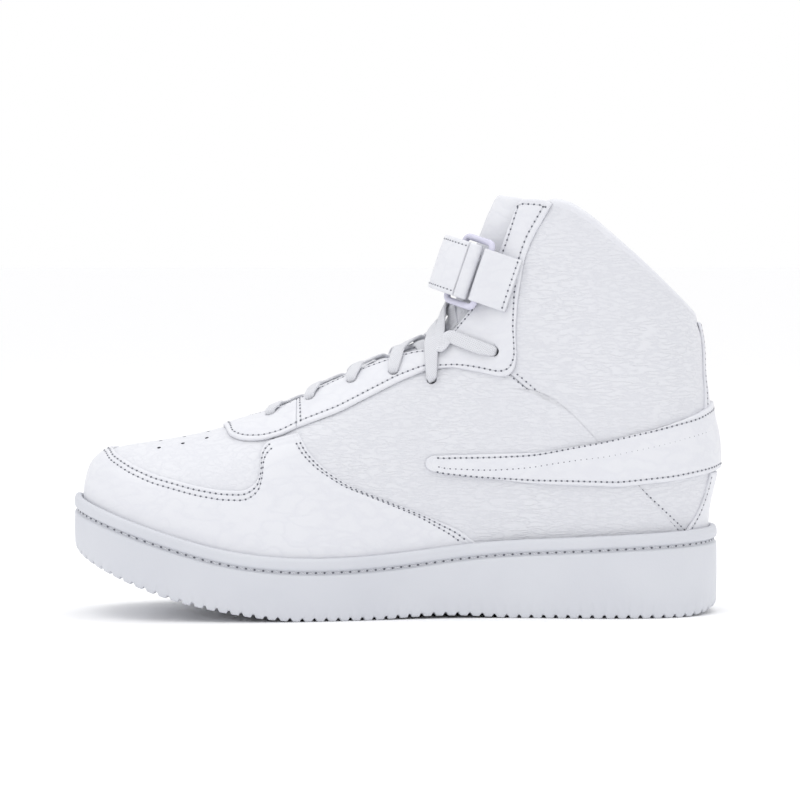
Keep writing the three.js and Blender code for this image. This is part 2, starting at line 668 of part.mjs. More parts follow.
function strapSpot(along, distance) {
  const u = (frontAt + along) / ankleCurve.getLength();
  const tangent = ankleCurve.getTangentAt(u);
  const outward = across.clone().cross(tangent).normalize();
  return { point: ankleCurve.getPointAt(u).addScaledVector(outward, distance), tangent, outward };
}
// A strip through middle points; shares narrow it from its full width.
function stripThrough(points, width, thickness, shares = []) {
  const sections = points.map((point, i) => {
    const ahead = above(points, i);
    const behind = below(points, i);
    const through = across.clone().cross(ahead.clone().sub(behind)).normalize();
    const w = (width * (shares[i] ?? 1)) / 2;
    const t = thickness / 2;
    const corner = (u, v) => point.clone().addScaledVector(across, u * w).addScaledVector(through, v * t);
    return [corner(-1, -1), corner(1, -1), corner(1, 1), corner(-1, 1)];
  });
  return sweep(sections);
}
// A strip through [distance round, distance out, share of the full width].
const strip = (path, width, thickness) =>
  stripThrough(
    path.map(([along, distance]) => strapSpot(along, distance).point),
    width,
    thickness,
    path.map(([, , share]) => share),
  );
const run = (from, to, distance) => {
  const count = Math.round(Math.abs(to - from) / 6);
  return Array.from({ length: count + 1 }, (_, i) => [lerp(from, to, i / count), distance]);
};
const strapEase = 0.8; // the flat strap stands off the curved ankle by this
const strapSeat = gap + overlay + strapEase + strapThickness / 2; // centre of the strap's inner run
const loopTapeSeat = strapSeat + strapThickness / 2 + gap + tapeThickness / 2;
const hookTapeSeat = loopTapeSeat + tapeThickness + gap;
const freeSeat = hookTapeSeat + tapeThickness / 2 + gap + strapThickness / 2;
const ringSeat = 5.4;
const ringAt = -17.5;
const foldAt = -17.6;
const freeTop = 11; // the free run over the ring's bar
const anchoredRun = strip(
  [
    ...run(60, -6, strapSeat), [-11, strapSeat + 0.1], [-16, strapSeat + 0.7], [-19.2, 6], [-20.6, 7.6],
    [-20.2, 9.5], [foldAt - gap, freeTop],
  ],
  strapWidth,
  strapThickness,
);
const freeRun = strip(
  [
    [foldAt + gap / 2, freeTop], [-13, freeTop], [-7, freeTop], [0, freeTop - 0.3], [6, freeTop - 0.9],
    ...run(13, 46, freeSeat), [50, freeSeat, 0.93], [52, freeSeat, 0.72],
  ],
  strapWidth,
  strapThickness,
);
const tapeWidth = strapWidth - 4;
const loopTape = strip(run(14, 56, loopTapeSeat), tapeWidth, tapeThickness);
const hookTape = strip(run(18, 48, hookTapeSeat), tapeWidth, tapeThickness);

// ---------- ring and keeper ----------
const ringHeight = strapWidth + 2 * (ringBar + 1);
const ringCorner = 2.2;
function ring() {
  const { point, tangent, outward } = strapSpot(ringAt, ringSeat);
  const [a, b] = [(ringLength - ringBar) / 2, (ringHeight - ringBar) / 2];
  const sections = [];
  for (const [u, v, start] of [[1, 1, 0], [-1, 1, 90], [-1, -1, 180], [1, -1, 270]])
    for (const turn of [0, 45, 90]) {
      const t = degToRad(start + turn);
      const radial = tangent.clone().multiplyScalar(Math.cos(t)).addScaledVector(across, Math.sin(t));
      const centre = point
        .clone()
        .addScaledVector(tangent, u * (a - ringCorner) + ringCorner * Math.cos(t))
        .addScaledVector(across, v * (b - ringCorner) + ringCorner * Math.sin(t));
      sections.push(
        [0, 1, 2, 3, 4, 5].map((k) => {
          const s = (k * Math.PI) / 3;
          return centre
            .clone()
            .addScaledVector(radial, (ringBar / 2) * Math.cos(s))
            .addScaledVector(outward, (ringBar / 2) * Math.sin(s));
        }),
      );
    }
  return sweep(sections, "ring");
}
const keeperSeat = gap + overlay + gap + keeperThickness / 2;
const keeperTop = keeperSeat + keeperThickness + gap;
const keeperEnd = -38.5; // the keeper's sewn end, round the ankle
function keeper() {
  const { point, tangent, outward } = strapSpot(ringAt, ringSeat);
  const bar = point.addScaledVector(tangent, -(ringLength - ringBar) / 2);
  const turn = ringBar / 2 + 2 * gap + keeperThickness / 2;
  const round = [-90, -45, 0, 45, 90].map((angle) =>
    bar
      .clone()
      .addScaledVector(tangent, turn * Math.cos(degToRad(angle)))
      .addScaledVector(outward, turn * Math.sin(degToRad(angle))),
  );
  const sewn = (along, distance) => strapSpot(along, distance).point;
  return stripThrough(
    [
      sewn(keeperEnd, keeperSeat), sewn(-36, keeperSeat), sewn(-33.3, keeperSeat), ...round,
      sewn(-34, keeperTop + 0.4), sewn(-36, keeperTop), sewn(keeperEnd, keeperTop),
    ],
    strapWidth - 1,
    keeperThickness,
  );
}

// ---------- toe box vents ----------
const ventDiameter = 1.8;
const vents = [-110, -99, -88].flatMap((x) =>
  [-16.5, -5.5, 5.5, 16.5].map((y) =>
    punch(fromAbove(x * stretch, throatCentre(x * stretch) + y), ventDiameter),
  ),
);

// ---------- all pieces ----------
add("cupsole", cup, rubberWhite, 0.6);
add("sidewall_thread", grooveThread(), white, 0.7);
add("foam_wedge", wedge(), foamWhite, 0.8);
add("lasting_board", board(), boardCream, 0.9);
add("sockliner", sockliner(), meshGrey, 0.9);
const ventedToe = vents.reduce((left, vent) => left.subtract(vent), punched(toeBox));
add("toe_box", ventedToe, white, 0.45);
const eyestay = (side) => punched(overlayShell.intersect(half(side, eyestayOutline)));
for (const [name, side] of [["medial", medial], ["lateral", lateral]]) {
  add(`quarter_${name}`, punched(base.intersect(half(side, quarterOutline))), white, 0.45);
  add(`ankle_panel_${name}`, punched(base.intersect(half(side, ankleOutline))), white, 0.45);
  add(`eyestay_${name}`, eyestay(side), white, 0.45);
}
add("front_overlay", mudguard, white, 0.45);
add("eyestay_bow", punched(bow), white, 0.45);
add("backstay", backstay, white, 0.45);
add("heel_foxing", foxing, white, 0.45);
add("heel_wrap", heelWrap, white, 0.45);
add("toe_puff", toePuff, boardCream, 0.8);
add("heel_counter", heelCounter, boardCream, 0.8);
add("collar_foam", collarFoam, foamWhite, 0.9);
add("vamp_lining", vampLining, meshGrey, 0.9);
add("quarter_lining", quarterLining, meshGrey, 0.9);
add("collar_binding", binding, white, 0.5);
add("tongue_face", tongueLayer(0, tongueFace), white, 0.5);
const padFront = tongueFace + gap;
const liningFront = padFront + tonguePad + gap;
add("tongue_foam", tongueLayer(padFront, padFront + tonguePad), foamWhite, 0.9);
add("tongue_lining", tongueLayer(liningFront, liningFront + lining), meshGrey, 0.9);
add("lace", lace(), white, 0.85);
const fittedRun = anchoredRun.subtract(eyestay(medial)).subtract(eyestay(lateral));
add("strap_anchored_run", fittedRun, white, 0.5);
add("strap_free_run", freeRun, white, 0.5);
add("loop_tape", loopTape, white, 0.95);
add("hook_tape", hookTape, white, 0.8);
add("strap_ring", ring(), 0xeeeef4, 0.3);
add("ring_keeper", keeper(), white, 0.5);

export default group;
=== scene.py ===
# %% [markdown]
# # A white leather basketball high top
#
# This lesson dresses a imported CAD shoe. The CAD holds every piece as a faceted solid. Here each piece that
# shows is worked out again as a smooth surface in the same place: soft panels with turned edges, real
# stitches, a woven lace, a folded strap and a rubber cupsole.

# %% Load the frame
import math

import bmesh
import bpy
import numpy as np
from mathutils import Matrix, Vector


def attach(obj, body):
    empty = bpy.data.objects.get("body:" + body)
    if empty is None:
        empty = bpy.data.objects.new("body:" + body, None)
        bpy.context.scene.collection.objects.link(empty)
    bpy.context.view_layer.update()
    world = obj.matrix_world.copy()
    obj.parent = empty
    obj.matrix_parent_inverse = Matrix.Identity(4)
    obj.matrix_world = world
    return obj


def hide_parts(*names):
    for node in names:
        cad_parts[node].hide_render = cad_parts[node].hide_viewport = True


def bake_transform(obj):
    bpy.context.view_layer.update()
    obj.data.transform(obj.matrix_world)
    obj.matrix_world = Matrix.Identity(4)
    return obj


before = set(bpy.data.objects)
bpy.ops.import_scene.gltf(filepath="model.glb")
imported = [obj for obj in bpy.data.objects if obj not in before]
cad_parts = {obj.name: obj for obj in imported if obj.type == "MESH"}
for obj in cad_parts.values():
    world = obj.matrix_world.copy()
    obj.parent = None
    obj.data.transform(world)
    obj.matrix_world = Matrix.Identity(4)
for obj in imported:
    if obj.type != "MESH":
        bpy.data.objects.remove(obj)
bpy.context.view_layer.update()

MM = 0.001  # sizes below are in millimetres, and Blender works in metres
print("CAD pieces:", len(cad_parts))

# %% [markdown]
# ## Tools for curves
#
# A shoe is all smooth curves through a few measured points. A natural cubic spline is the classic tool: it
# bends like a thin strip of wood held at its knots. Outlines with corners are treated differently, because a
# spline would swing out beside each corner. They are walked in small steps and then averaged, which only
# rounds the corners off.


# %% Curves
def curve_through(knots):
    """A natural cubic through (x, y) knots. The bending at each knot comes from one set of linear equations,
    and beyond its ends the curve stays level."""
    x, y = np.array(knots, float).T
    h = np.diff(x)
    system = np.eye(len(x))
    right = np.zeros(len(x))
    inner = np.arange(1, len(x) - 1)
    system[inner, inner - 1] = h[:-1]
    system[inner, inner] = 2 * (h[:-1] + h[1:])
    system[inner, inner + 1] = h[1:]
    right[inner] = 6 * (np.diff(y)[1:] / h[1:] - np.diff(y)[:-1] / h[:-1])
    bend = np.linalg.solve(system, right)

    def at(t):
        t = np.clip(t, x[0], x[-1])
        i = np.clip(np.searchsorted(x, t, side="right") - 1, 0, len(h) - 1)
        p = (x[i + 1] - t) / h[i]
        q = 1 - p
        cubic = ((p**3 - p) * bend[i] + (q**3 - q) * bend[i + 1]) * h[i] ** 2 / 6
        return p * y[i] + q * y[i + 1] + cubic

    return at


def ease(t, low, high):
    """0 below low, 1 above high, and level at both ends between them."""
    s = np.clip((t - low) / (high - low), 0, 1)
    return s * s * (3 - 2 * s)


def unit(vectors):
    """Vectors of length one."""
    return vectors / np.maximum(np.linalg.norm(vectors, axis=-1, keepdims=True), 1e-12)


def walk(points):
    """Distance walked along a line of points."""
    steps = np.linalg.norm(np.diff(points, axis=0), axis=1)
    return np.concatenate([[0], np.cumsum(steps)])


def resample(values, lengths, wanted):
    """Each column of values read off at the wanted lengths."""
    return np.stack([np.interp(wanted, lengths, column) for column in values.T], -1)


def soften(values, sigma):
    """A running average with a bell-shaped weight of sigma steps. The ends are mirrored, so they stay put."""
    reach = int(3 * sigma) + 1
    if len(values) <= reach + 1:
        return values
    weight = np.exp(-0.5 * (np.arange(-reach, reach + 1) / sigma) ** 2)
    weight /= weight.sum()
    before = 2 * values[0] - values[reach:0:-1]
    after = 2 * values[-1] - values[-2 : -reach - 2 : -1]
    longer = np.concatenate([before, values, after])
    return np.stack([np.convolve(column, weight, "valid") for column in longer.T], -1)


# %% [markdown]
# ## The last: one skin for the whole upper
#
# Shoemakers build the upper over a last, a solid foot form. Here the last is a formula. A station round the
# shoe is an angle from the toe (0) to the heel (180), and on to 360 back along the lateral side. A second
# number, the climb, runs from the feather edge at the sole (0) up to the ridge (1) and down the far side (2).
# Each cross section is a superellipse, which is an ellipse with adjustable squareness.

# %% Sizes of the last
SOLE_LENGTH, BALL_WIDTH, HEEL_WIDTH = 300, 109, 80
HALF_LENGTH = SOLE_LENGTH / 2
CUP_WALL, CUP_DEPTH, OUTSOLE = 3.6, 13.5, 5.5
INSET = 5.6  # from the outside of the sole in to the skin
BALL, HEEL = BALL_WIDTH / 2, HEEL_WIDTH / 2

fullness = curve_through([
    (0, 1.42 * BALL), (26, 1.44 * BALL), (37, 1.34 * BALL), (48, 1.22 * BALL), (58, 1.14 * BALL),
    (67, 1.07 * BALL), (76, 0.99 * BALL), (90, 0.83 * BALL), (105, 0.99 * HEEL), (122, 1.14 * HEEL),
    (132, 1.32 * HEEL), (143, 1.53 * HEEL), (155, 1.74 * HEEL), (167, 1.86 * HEEL), (180, 1.9 * HEEL),
])
swing = curve_through([
    (0, -12), (30, -6.5), (48, -3.2), (66, -0.4), (82, 2.6), (93, 3.6), (108, 3), (125, 1.5), (150, 0.3),
    (180, 0),
])
ridge_swing = curve_through([(0, -12), (30, -8), (55, -4.5), (75, -1.5), (95, 0), (180, 0)])
lip = curve_through([
    (0, 56.5), (22, 51.5), (45, 40.3), (58.7, 32.8), (70.5, 29.3), (81.6, 29), (90.6, 30.6), (103, 34.4),
    (120, 37), (140, 39), (180, 41),
])
tread = curve_through([
    (0, 33.5), (22, 24.5), (37, 16), (45, 11), (54, 6.3), (63, 2.6), (70, 0.5), (75, -0.3), (84, -0.3),
    (95, 1.2), (103, 1.1), (111, -0.1), (120, -0.3), (141, -0.3), (152, -0.1), (160, 1), (180, 5),
])
ridge = curve_through([
    (0, 44), (5, 58), (9, 64.5), (13, 69.2), (18, 73), (23, 75.6), (31, 78.2), (39, 79.8), (46, 81.6),
    (52, 83.8), (57, 86.4), (62.5, 90), (68.6, 94.8), (73, 100), (77.6, 106), (82, 111.6), (86.3, 117),
    (90.5, 122),
    (94.9, 128), (98.5, 137.5), (100.9, 152), (104.9, 180), (110, 212), (116, 238), (125, 252), (135, 252),
    (146, 243), (157, 225), (180, 195),
])
squareness = curve_through([
    (0, 2.7), (25, 2.5), (45, 2.4), (60, 2.5), (75, 2.6), (90, 2.5), (98, 2.3), (104, 2.15), (112, 2.6),
    (122, 3.6), (135, 4.4), (180, 4.6),
])
heel_line = curve_through([
    (20, 0), (34, 0), (43, 0), (50, 0.7), (55, 1.7), (60, 3), (65, 4.1), (73, 4.2), (83, 3.2), (91, 1.5),
    (101, 0.2), (111, -1.1), (121, -1.6), (130, -2.6), (136, -4), (160, -10), (200, -20),
])
ankle_width = curve_through([
    (20, 1), (34, 1), (43, 1), (52, 1.012), (65, 1.035), (85, 0.995), (105, 0.965), (125, 0.96), (150, 1.0),
    (185, 1.07), (230, 1.1),
])


def sole(angle):
    """Height of the bottom of the sole."""
    return np.maximum(0, tread(angle))


def feather(angle):
    """Height of the line where the upper turns under the foot."""
    return lip(angle) - CUP_DEPTH


# %% The plan of the sole
def plan_point(side, angle):
    """Outline of the sole from above: x is minus half the length times the cosine of the angle, and y is the
    centre line plus fullness times the sine."""
    a = np.radians(angle)
    return np.stack([-HALF_LENGTH * np.cos(a), swing(angle) + side * fullness(angle) * np.sin(a)], -1)


def plan_normal(side, angle):
    """Outward direction of that outline, from two neighbouring points."""
    a = np.clip(angle, 0.5, 179.5)
    across = plan_point(side, a - 0.5) - plan_point(side, a + 0.5)
    made = unit(np.stack([across[..., 1], -across[..., 0]], -1)) * side[..., None]
    end = np.stack([np.sign(angle - 90.0), np.zeros_like(a)], -1)
    near = np.clip(np.minimum(angle, 180 - angle) / 0.5, 0, 1)[..., None]
    return unit(made * near + end * (1 - near))


# %% The skin
def skin_point(side, angle, share):
    """A point of the skin: the share of the height from feather to ridge, and the matching width of a
    superellipse, which is (1 - share^p)^(1/p). The ankle widens by height, and the heel stands back."""
    foot = plan_point(side, angle) - INSET * plan_normal(side, angle)
    p = squareness(angle)
    z = feather(angle) + (ridge(angle) - feather(angle)) * share
    ankle = 1 + (ankle_width(z) - 1) * ease(angle, 92, 130)
    out = np.maximum(1 - share**p, 0) ** (1 / p) * ankle
    back = ease(angle, 112, 178) ** 1.5 * heel_line(z)
    middle = ridge_swing(angle)
    return np.stack([foot[..., 0] + back, middle + (foot[..., 1] - middle) * out, z], -1)


def skin_normal(side, angle, share):
    """Outward direction of the skin: the cross product of a step along and a step up."""
    a = np.clip(angle, 1.5, 178.5)
    v = np.clip(share, 0.01, 0.985)
    along = skin_point(side, a + 1, v) - skin_point(side, a - 1, v)
    over = skin_point(side, a, v + 0.01) - skin_point(side, a, v - 0.01)
    made = unit(np.cross(along, over) * -side[..., None])
    made[..., 1] *= np.clip((1 - share) / 0.015, 0, 1) * np.clip((180 - angle) / 1.5, 0, 1)
    made[..., 2] *= np.clip(share / 0.02, 0, 1)
    near = np.clip(angle / 1.5, 0, 1)[..., None]
    return unit(made * near + np.array([-1.0, 0, 0]) * (1 - near))


def fold(spot):
    """Side, angle and share of a spot. The share is 1 - (1 - climb)^p, which spaces the ridge evenly."""
    angle, climb = np.asarray(spot)[..., 0], np.asarray(spot)[..., 1]
    side = np.where((climb > 1) ^ (angle > 180), 1.0, -1.0)
    a = np.minimum(angle, 360 - angle)
    c = np.clip(np.minimum(climb, 2 - climb), 0, 1)
    return side, a, 1 - (1 - c) ** squareness(a)


def place(spot, out):
    """The point that stands out from the skin by this distance at a spot (angle, climb)."""
    side, a, share = fold(spot)
    return skin_point(side, a, share) + skin_normal(side, a, share) * np.asarray(out, float)[..., None]


def normal_at(spot):
    """The outward direction at a spot."""
    return skin_normal(*fold(spot))


# %% [markdown]
# ## Finding a place on the skin
#
# Pattern pieces are drawn as they look from the side, and the throat and its lace holes as they look from
# above. Both views are turned back into spots on the skin by looking the angle up in a table and then
# solving the superellipse for the height or the width that is missing.

# %% From a view to the skin
TABLE = np.linspace(0, 180, 1801)
FOOT_X = {
    side: np.maximum.accumulate(skin_point(np.full(len(TABLE), float(side)), TABLE, 0 * TABLE)[:, 0])
    for side in (-1, 1)
}


def climb_of(angle, share):
    """The climb that gives this share of the height."""
    return 1 - np.maximum(1 - np.clip(share, 0, 1), 0) ** (1 / squareness(angle))


def stepped(corners, step=2.0):
    """A line of corners with points added between them, about one step apart."""
    if len(corners) < 2:
        return corners
    lengths = walk(corners)
    count = max(int(lengths[-1] / step), 4 * len(corners))
    return resample(corners, lengths, np.linspace(0, lengths[-1], count))


def seen(pairs, side=-1):
    """Spots for (x, z) points of the side view. The lateral side is told by a climb over 1. Long straight
    runs are walked in steps of 2 mm first."""
    x, z = stepped(np.array(pairs, float)).T
    angle = np.interp(x, FOOT_X[side], TABLE)
    for _ in range(4):
        angle = np.interp(x - ease(angle, 112, 178) ** 1.5 * heel_line(z), FOOT_X[side], TABLE)
    climb = climb_of(angle, (z - feather(angle)) / (ridge(angle) - feather(angle)))
    if side < 0:
        return np.stack([angle, climb], -1)
    return np.stack([angle, 2 - climb], -1)


def from_above(x, y):
    """Spots for points of the plan."""
    x, y = np.broadcast_arrays(np.asarray(x, float), np.asarray(y, float))
    angle_m, angle_l = (np.interp(x, FOOT_X[s], TABLE) for s in (-1, 1))
    side = np.where(y > ridge_swing((angle_m + angle_l) / 2), 1.0, -1.0)
    angle = np.where(side > 0, angle_l, angle_m)
    foot = plan_point(side, angle) - INSET * plan_normal(side, angle)
    wide = np.abs(y - ridge_swing(angle)) / np.abs(foot[..., 1] - ridge_swing(angle))
    p = squareness(angle)
    share = np.maximum(1 - np.clip(wide, 0, 1) ** p, 0) ** (1 / p)
    for _ in range(4):
        z = feather(angle) + (ridge(angle) - feather(angle)) * share
        narrower = wide / (1 + (ankle_width(z) - 1) * ease(angle, 92, 130))
        share = np.maximum(1 - np.clip(narrower, 0, 1) ** p, 0) ** (1 / p)
    climb = climb_of(angle, share)
    return np.stack([angle, np.where(side > 0, 2 - climb, climb)], -1)


def centre_at(x):
    """The middle line of the throat, seen from above."""
    return ridge_swing(np.degrees(np.arccos(np.clip(-x / HALF_LENGTH, -1, 1))))


throat_half = curve_through([
    (-62, 5.5), (-56, 9), (-40, 10.5), (-10, 11.5), (10, 13.5), (25, 17), (45, 20), (70, 22),
])


def at_height(angle, z):
    """Spots at a height above the ground, with angles over 180 on the lateral side."""
    a = np.minimum(angle, 360 - angle)
    return np.stack([angle, climb_of(a, (z - feather(a)) / (ridge(a) - feather(a)))], -1)


print("The skin at the toe, the vamp and the heel:")
print(np.round(place(np.array([[10, 1.0], [60, 1.0], [180, 0.1]]), np.zeros(3)), 1))

# %% [markdown]
# ## Turning grids into pieces
#
# A surface is a grid of points, and a mesh is that grid with a face between each four neighbours. A piece of
# leather has thickness, so it is two grids with a wall round them. Welding the doubled points closes the
# seams and the places where a row shrinks to one point.


# %% Meshes
def grid_faces(rows, cols, ring=False):
    """The four corners of each cell of a rows by cols grid; in a ring the last column meets the first."""
    i = np.arange(rows - 1)[:, None]
    j = np.arange(cols if ring else cols - 1)[None, :]
    k = (j + 1) % cols
    corners = [i * cols + j, i * cols + k, (i + 1) * cols + k, (i + 1) * cols + j]
    return np.stack(np.broadcast_arrays(*corners), -1).reshape(-1, 4)


def outward(points, faces):
    """The same faces, turned if the volume that they close counts as negative."""
    a, b, c, d = (points[faces[:, k]] for k in range(4))
    volume = np.einsum("ij,ij->", a, np.cross(b, c)) + np.einsum("ij,ij->", a, np.cross(c, d))
    return faces if volume > 0 else faces[:, ::-1]


def make_piece(name, points, faces, finish, body="shoe", stands_for=(), uv=None):
    """A mesh object at the origin from points in millimetres and four-cornered faces, with doubles welded."""
    turned = outward(points, faces)
    mesh = bpy.data.meshes.new(name)
    mesh.vertices.add(len(points))
    mesh.vertices.foreach_set("co", (points * MM).astype(np.float32).ravel())
    mesh.loops.add(turned.size)
    mesh.loops.foreach_set("vertex_index", turned.astype(np.int32).ravel())
    mesh.polygons.add(len(turned))
    mesh.polygons.foreach_set("loop_start", np.arange(0, turned.size, 4, dtype=np.int32))
    mesh.polygons.foreach_set("use_smooth", np.ones(len(turned), bool))
    if uv is not None:
        corners = uv if turned is faces else uv[:, ::-1]
        mesh.uv_layers.new(name="flat").data.foreach_set("uv", corners.astype(np.float32).ravel())
    mesh.update(calc_edges=True)
    work = bmesh.new()
    work.from_mesh(mesh)
    bmesh.ops.remove_doubles(work, verts=work.verts, dist=2e-6)
    bmesh.ops.dissolve_degenerate(work, edges=work.edges, dist=1e-6)
    work.to_mesh(mesh)
    work.free()
    mesh.materials.append(finish)
    piece = bpy.data.objects.new(name, mesh)
    bpy.context.scene.collection.objects.link(piece)
    if body:
        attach(piece, body)
    if stands_for:
        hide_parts(*stands_for)
    return piece


def shell_faces(rows, cols):
    """Faces of two stacked rows by cols grids and the wall round their edges."""
    count = rows * cols
    top = grid_faces(rows, cols)
    index = np.arange(count).reshape(rows, cols)
    rim = np.concatenate([index[0, :], index[1:, -1], index[-1, -2::-1], index[-2:0:-1, 0]])
    after = np.roll(rim, -1)
    wall = np.stack([after, rim, rim + count, after + count], -1)
    return np.concatenate([top, top[:, ::-1] + count, wall])


# %% [markdown]
# ## Cutting a panel
#
# A panel has four sides drawn on the skin. A Coons patch fills them: it blends each pair of facing sides and
# takes away what was counted twice. Rows are set out by real distance from the edges, so the turned edge and
# the stitch line keep their width wherever the panel narrows.

# %% Panels
EDGE_STEPS = np.array([0, 0.12, 0.35, 0.7, 1.1, 1.6, 2.1, 2.5, 2.9, 3.3, 3.8, 4.4, 5.2])


def drawn(*parts, sigma=2.2):
    """One side of a panel: spots walked at half a millimetre and softened, then read by share of the walk."""
    spots = np.concatenate([np.atleast_2d(part) for part in parts])
    lengths = walk(place(spots, np.zeros(len(spots))))
    keep = np.concatenate([[True], np.diff(lengths) > 1e-6])
    fine = np.linspace(0, lengths[-1], max(int(lengths[-1] * 2), 24))
    line = soften(resample(spots[keep], lengths[keep], fine), sigma * 2)
    lengths = walk(place(line, np.zeros(len(line))))
    return lambda t: resample(line, lengths / lengths[-1], t)


def coons(low, high, left, right):
    """Spots inside four sides: low and high blended across, plus left and right blended along, minus the
    corners blended both ways."""

    def at(u, v):
        shape = (*u.shape, 2)
        b, t = low(u.ravel()).reshape(shape), high(u.ravel()).reshape(shape)
        lf, r = left(v.ravel()).reshape(shape), right(v.ravel()).reshape(shape)
        ends = np.array([0.0, 1.0])
        (b0, b1), (t0, t1) = low(ends), high(ends)
        u, v = u[..., None], v[..., None]
        corners = (1 - u) * (1 - v) * b0 + u * (1 - v) * b1 + (1 - u) * v * t0 + u * v * t1
        return (1 - v) * b + v * t + (1 - u) * lf + u * r - corners

    return at


def straight(a, b):
    """A side that runs straight between two spots."""
    return lambda t: a + (b - a) * t[:, None]


def spaced(total, step):
    """Distances from an edge: close at both ends, and about one step apart between them."""
    scale = min(1.0, 0.42 * total / EDGE_STEPS[-1])
    near = EDGE_STEPS * scale
    middle = np.linspace(near[-1], total - near[-1], max(int((total - 2 * near[-1]) / step), 2) + 1)
    return np.concatenate([near, middle[1:-1], (total - near)[::-1]])


class Panel:
    """A patch of the skin set out in rows and columns by real distance, and its four edge distances."""

    def __init__(self, low, high, left=None, right=None, step=1.5):
        ends = np.array([0.0, 1.0])
        left = left or straight(low(ends)[0], high(ends)[0])
        right = right or straight(low(ends)[1], high(ends)[1])
        self.spot = coons(low, high, left, right)
        u, v = np.meshgrid(np.linspace(0, 1, 241), np.linspace(0, 1, 61), indexing="ij")
        rough = place(self.spot(u, v), np.zeros(u.shape))
        along = np.linalg.norm(np.diff(rough, axis=0), axis=2).mean(1)
        self.length = np.concatenate([[0], np.cumsum(along)])
        self.cols = np.interp(spaced(self.length[-1], step), self.length, u[:, 0])
        fine = np.linspace(0, 1, 121)
        uu, vv = np.meshgrid(self.cols, fine, indexing="ij")
        rough = place(self.spot(uu, vv), np.zeros(uu.shape))
        climb = np.linalg.norm(np.diff(rough, axis=1), axis=2)
        self.climb = np.concatenate([np.zeros((len(self.cols), 1)), np.cumsum(climb, 1)], 1)
        self.fine = fine
        total = self.climb[:, -1]
        rows = spaced(np.percentile(total, 90), step)
        count = len(EDGE_STEPS)
        scale = np.minimum(1, 0.42 * total / EDGE_STEPS[-1])[:, None]
        near = EDGE_STEPS[None] * scale
        share = np.linspace(0, 1, len(rows) - 2 * count + 2)[None, 1:-1]
        middle = near[:, -1:] + (total[:, None] - 2 * near[:, -1:]) * share
        self.rise = np.concatenate([near, middle, (total[:, None] - near)[:, ::-1]], 1)
        v = np.array([np.interp(r, c, fine) for r, c in zip(self.rise, self.climb)])
        self.spots = self.spot(np.broadcast_to(self.cols[:, None], v.shape), v)
        along = np.interp(self.cols, u[:, 0], self.length)[:, None]
        self.from_low, self.from_high = self.rise, total[:, None] - self.rise
        self.from_left = np.broadcast_to(along, self.rise.shape)
        self.from_right = self.length[-1] - self.from_left

    def edge(self, which):
        """Distance of every grid point from one edge."""
        return getattr(self, "from_" + which)

    def line(self, which, distance, start=0.0, stop=1.0):
        """Spots along a line at this distance inside an edge."""
        if which in ("low", "high"):
            cols = self.cols
            wanted = distance if which == "low" else self.climb[:, -1] - distance
            wanted = np.broadcast_to(wanted, cols.shape)
            rows = np.array([np.interp(w, c, self.fine) for w, c in zip(wanted, self.climb)])
            keep = (cols >= start) & (cols <= stop)
            return self.spot(cols[keep], rows[keep])
        length = distance if which == "left" else self.length[-1] - distance
        u = np.interp(length, self.length, np.linspace(0, 1, 241))
        v = np.linspace(start, stop, 120)
        return self.spot(np.full(120, u), v)


ALL_EDGES = ("low", "high", "left", "right")


def leather_shell(panel, inner, outer, rolled=ALL_EDGES, dips=(), swell=0.0, crumple=0.0):
    """Two grids for a panel between two distances. The edge rolls over as a quarter circle, each stitch line
    draws the surface in as a bell curve, and between its edges the panel swells a little. Crumpling adds
    sines whose phases are sines themselves, so that the waves don't line up."""
    out = np.broadcast_to(np.asarray(outer, float), panel.rise.shape).copy()
    thick = out - inner
    for which in rolled:
        near = np.clip(panel.edge(which) / 1.0, 0, 1)
        out -= 0.6 * thick * (1 - np.sqrt(1 - (1 - near) ** 2))
    for which, distance in dips:
        out -= 0.2 * np.exp(-(((panel.edge(which) - distance) / 0.6) ** 2))
    room = np.minimum.reduce([panel.edge(which) for which in ALL_EDGES])
    out += swell * ease(room, 2, 14)
    if crumple:
        points = place(panel.spots, np.zeros(out.shape))
        x, y, z = np.moveaxis(points, -1, 0)
        wave = np.sin(z / 2.9 + 1.3 * np.sin(x / 9.0) + y / 11) * np.sin(x / 6.3 + 0.9 * np.sin(z / 5.1))
        wave += 0.6 * np.sin(z / 1.7 + 1.9 * np.sin(x / 5.3 + 0.7) + y / 7) * np.sin(x / 4.1 - z / 6.7)
        out += crumple * wave * ease(room, 1, 8)
    faces_of = [place(panel.spots, distance).reshape(-1, 3) for distance in (out, np.full(out.shape, inner))]
    return np.concatenate(faces_of), shell_faces(*panel.rise.shape)


# %% [markdown]
# ## Finishes
#
# Every finish starts from the real material. White trainer leather is split hide with a rolled-on
# polyurethane coat: a soft gloss over pebbled grain, with fine creases where the hide was tumbled. All the
# patterns are set in real millimetres on Object coordinates, so they stay on the piece when it moves.


# %% Finish tools
def linear(code):
    """An sRGB hex colour as the linear values that shaders use."""
    parts = [int(code[i : i + 2], 16) / 255 for i in (0, 2, 4)]
    return tuple(c / 12.92 if c <= 0.04045 else ((c + 0.055) / 1.055) ** 2.4 for c in parts) + (1.0,)


def add_node(tree, kind, feeds=None, **settings):
    """One shader node. Settings are its properties, and feeds are its inputs: each is a value or another
    node's output."""
    made = tree.nodes.new(kind)
    for key, value in settings.items():
        setattr(made, key, value)
    for key, value in (feeds or {}).items():
        if isinstance(value, bpy.types.NodeSocket):
            tree.links.new(value, made.inputs[key])
        else:
            made.inputs[key].default_value = value
    return made


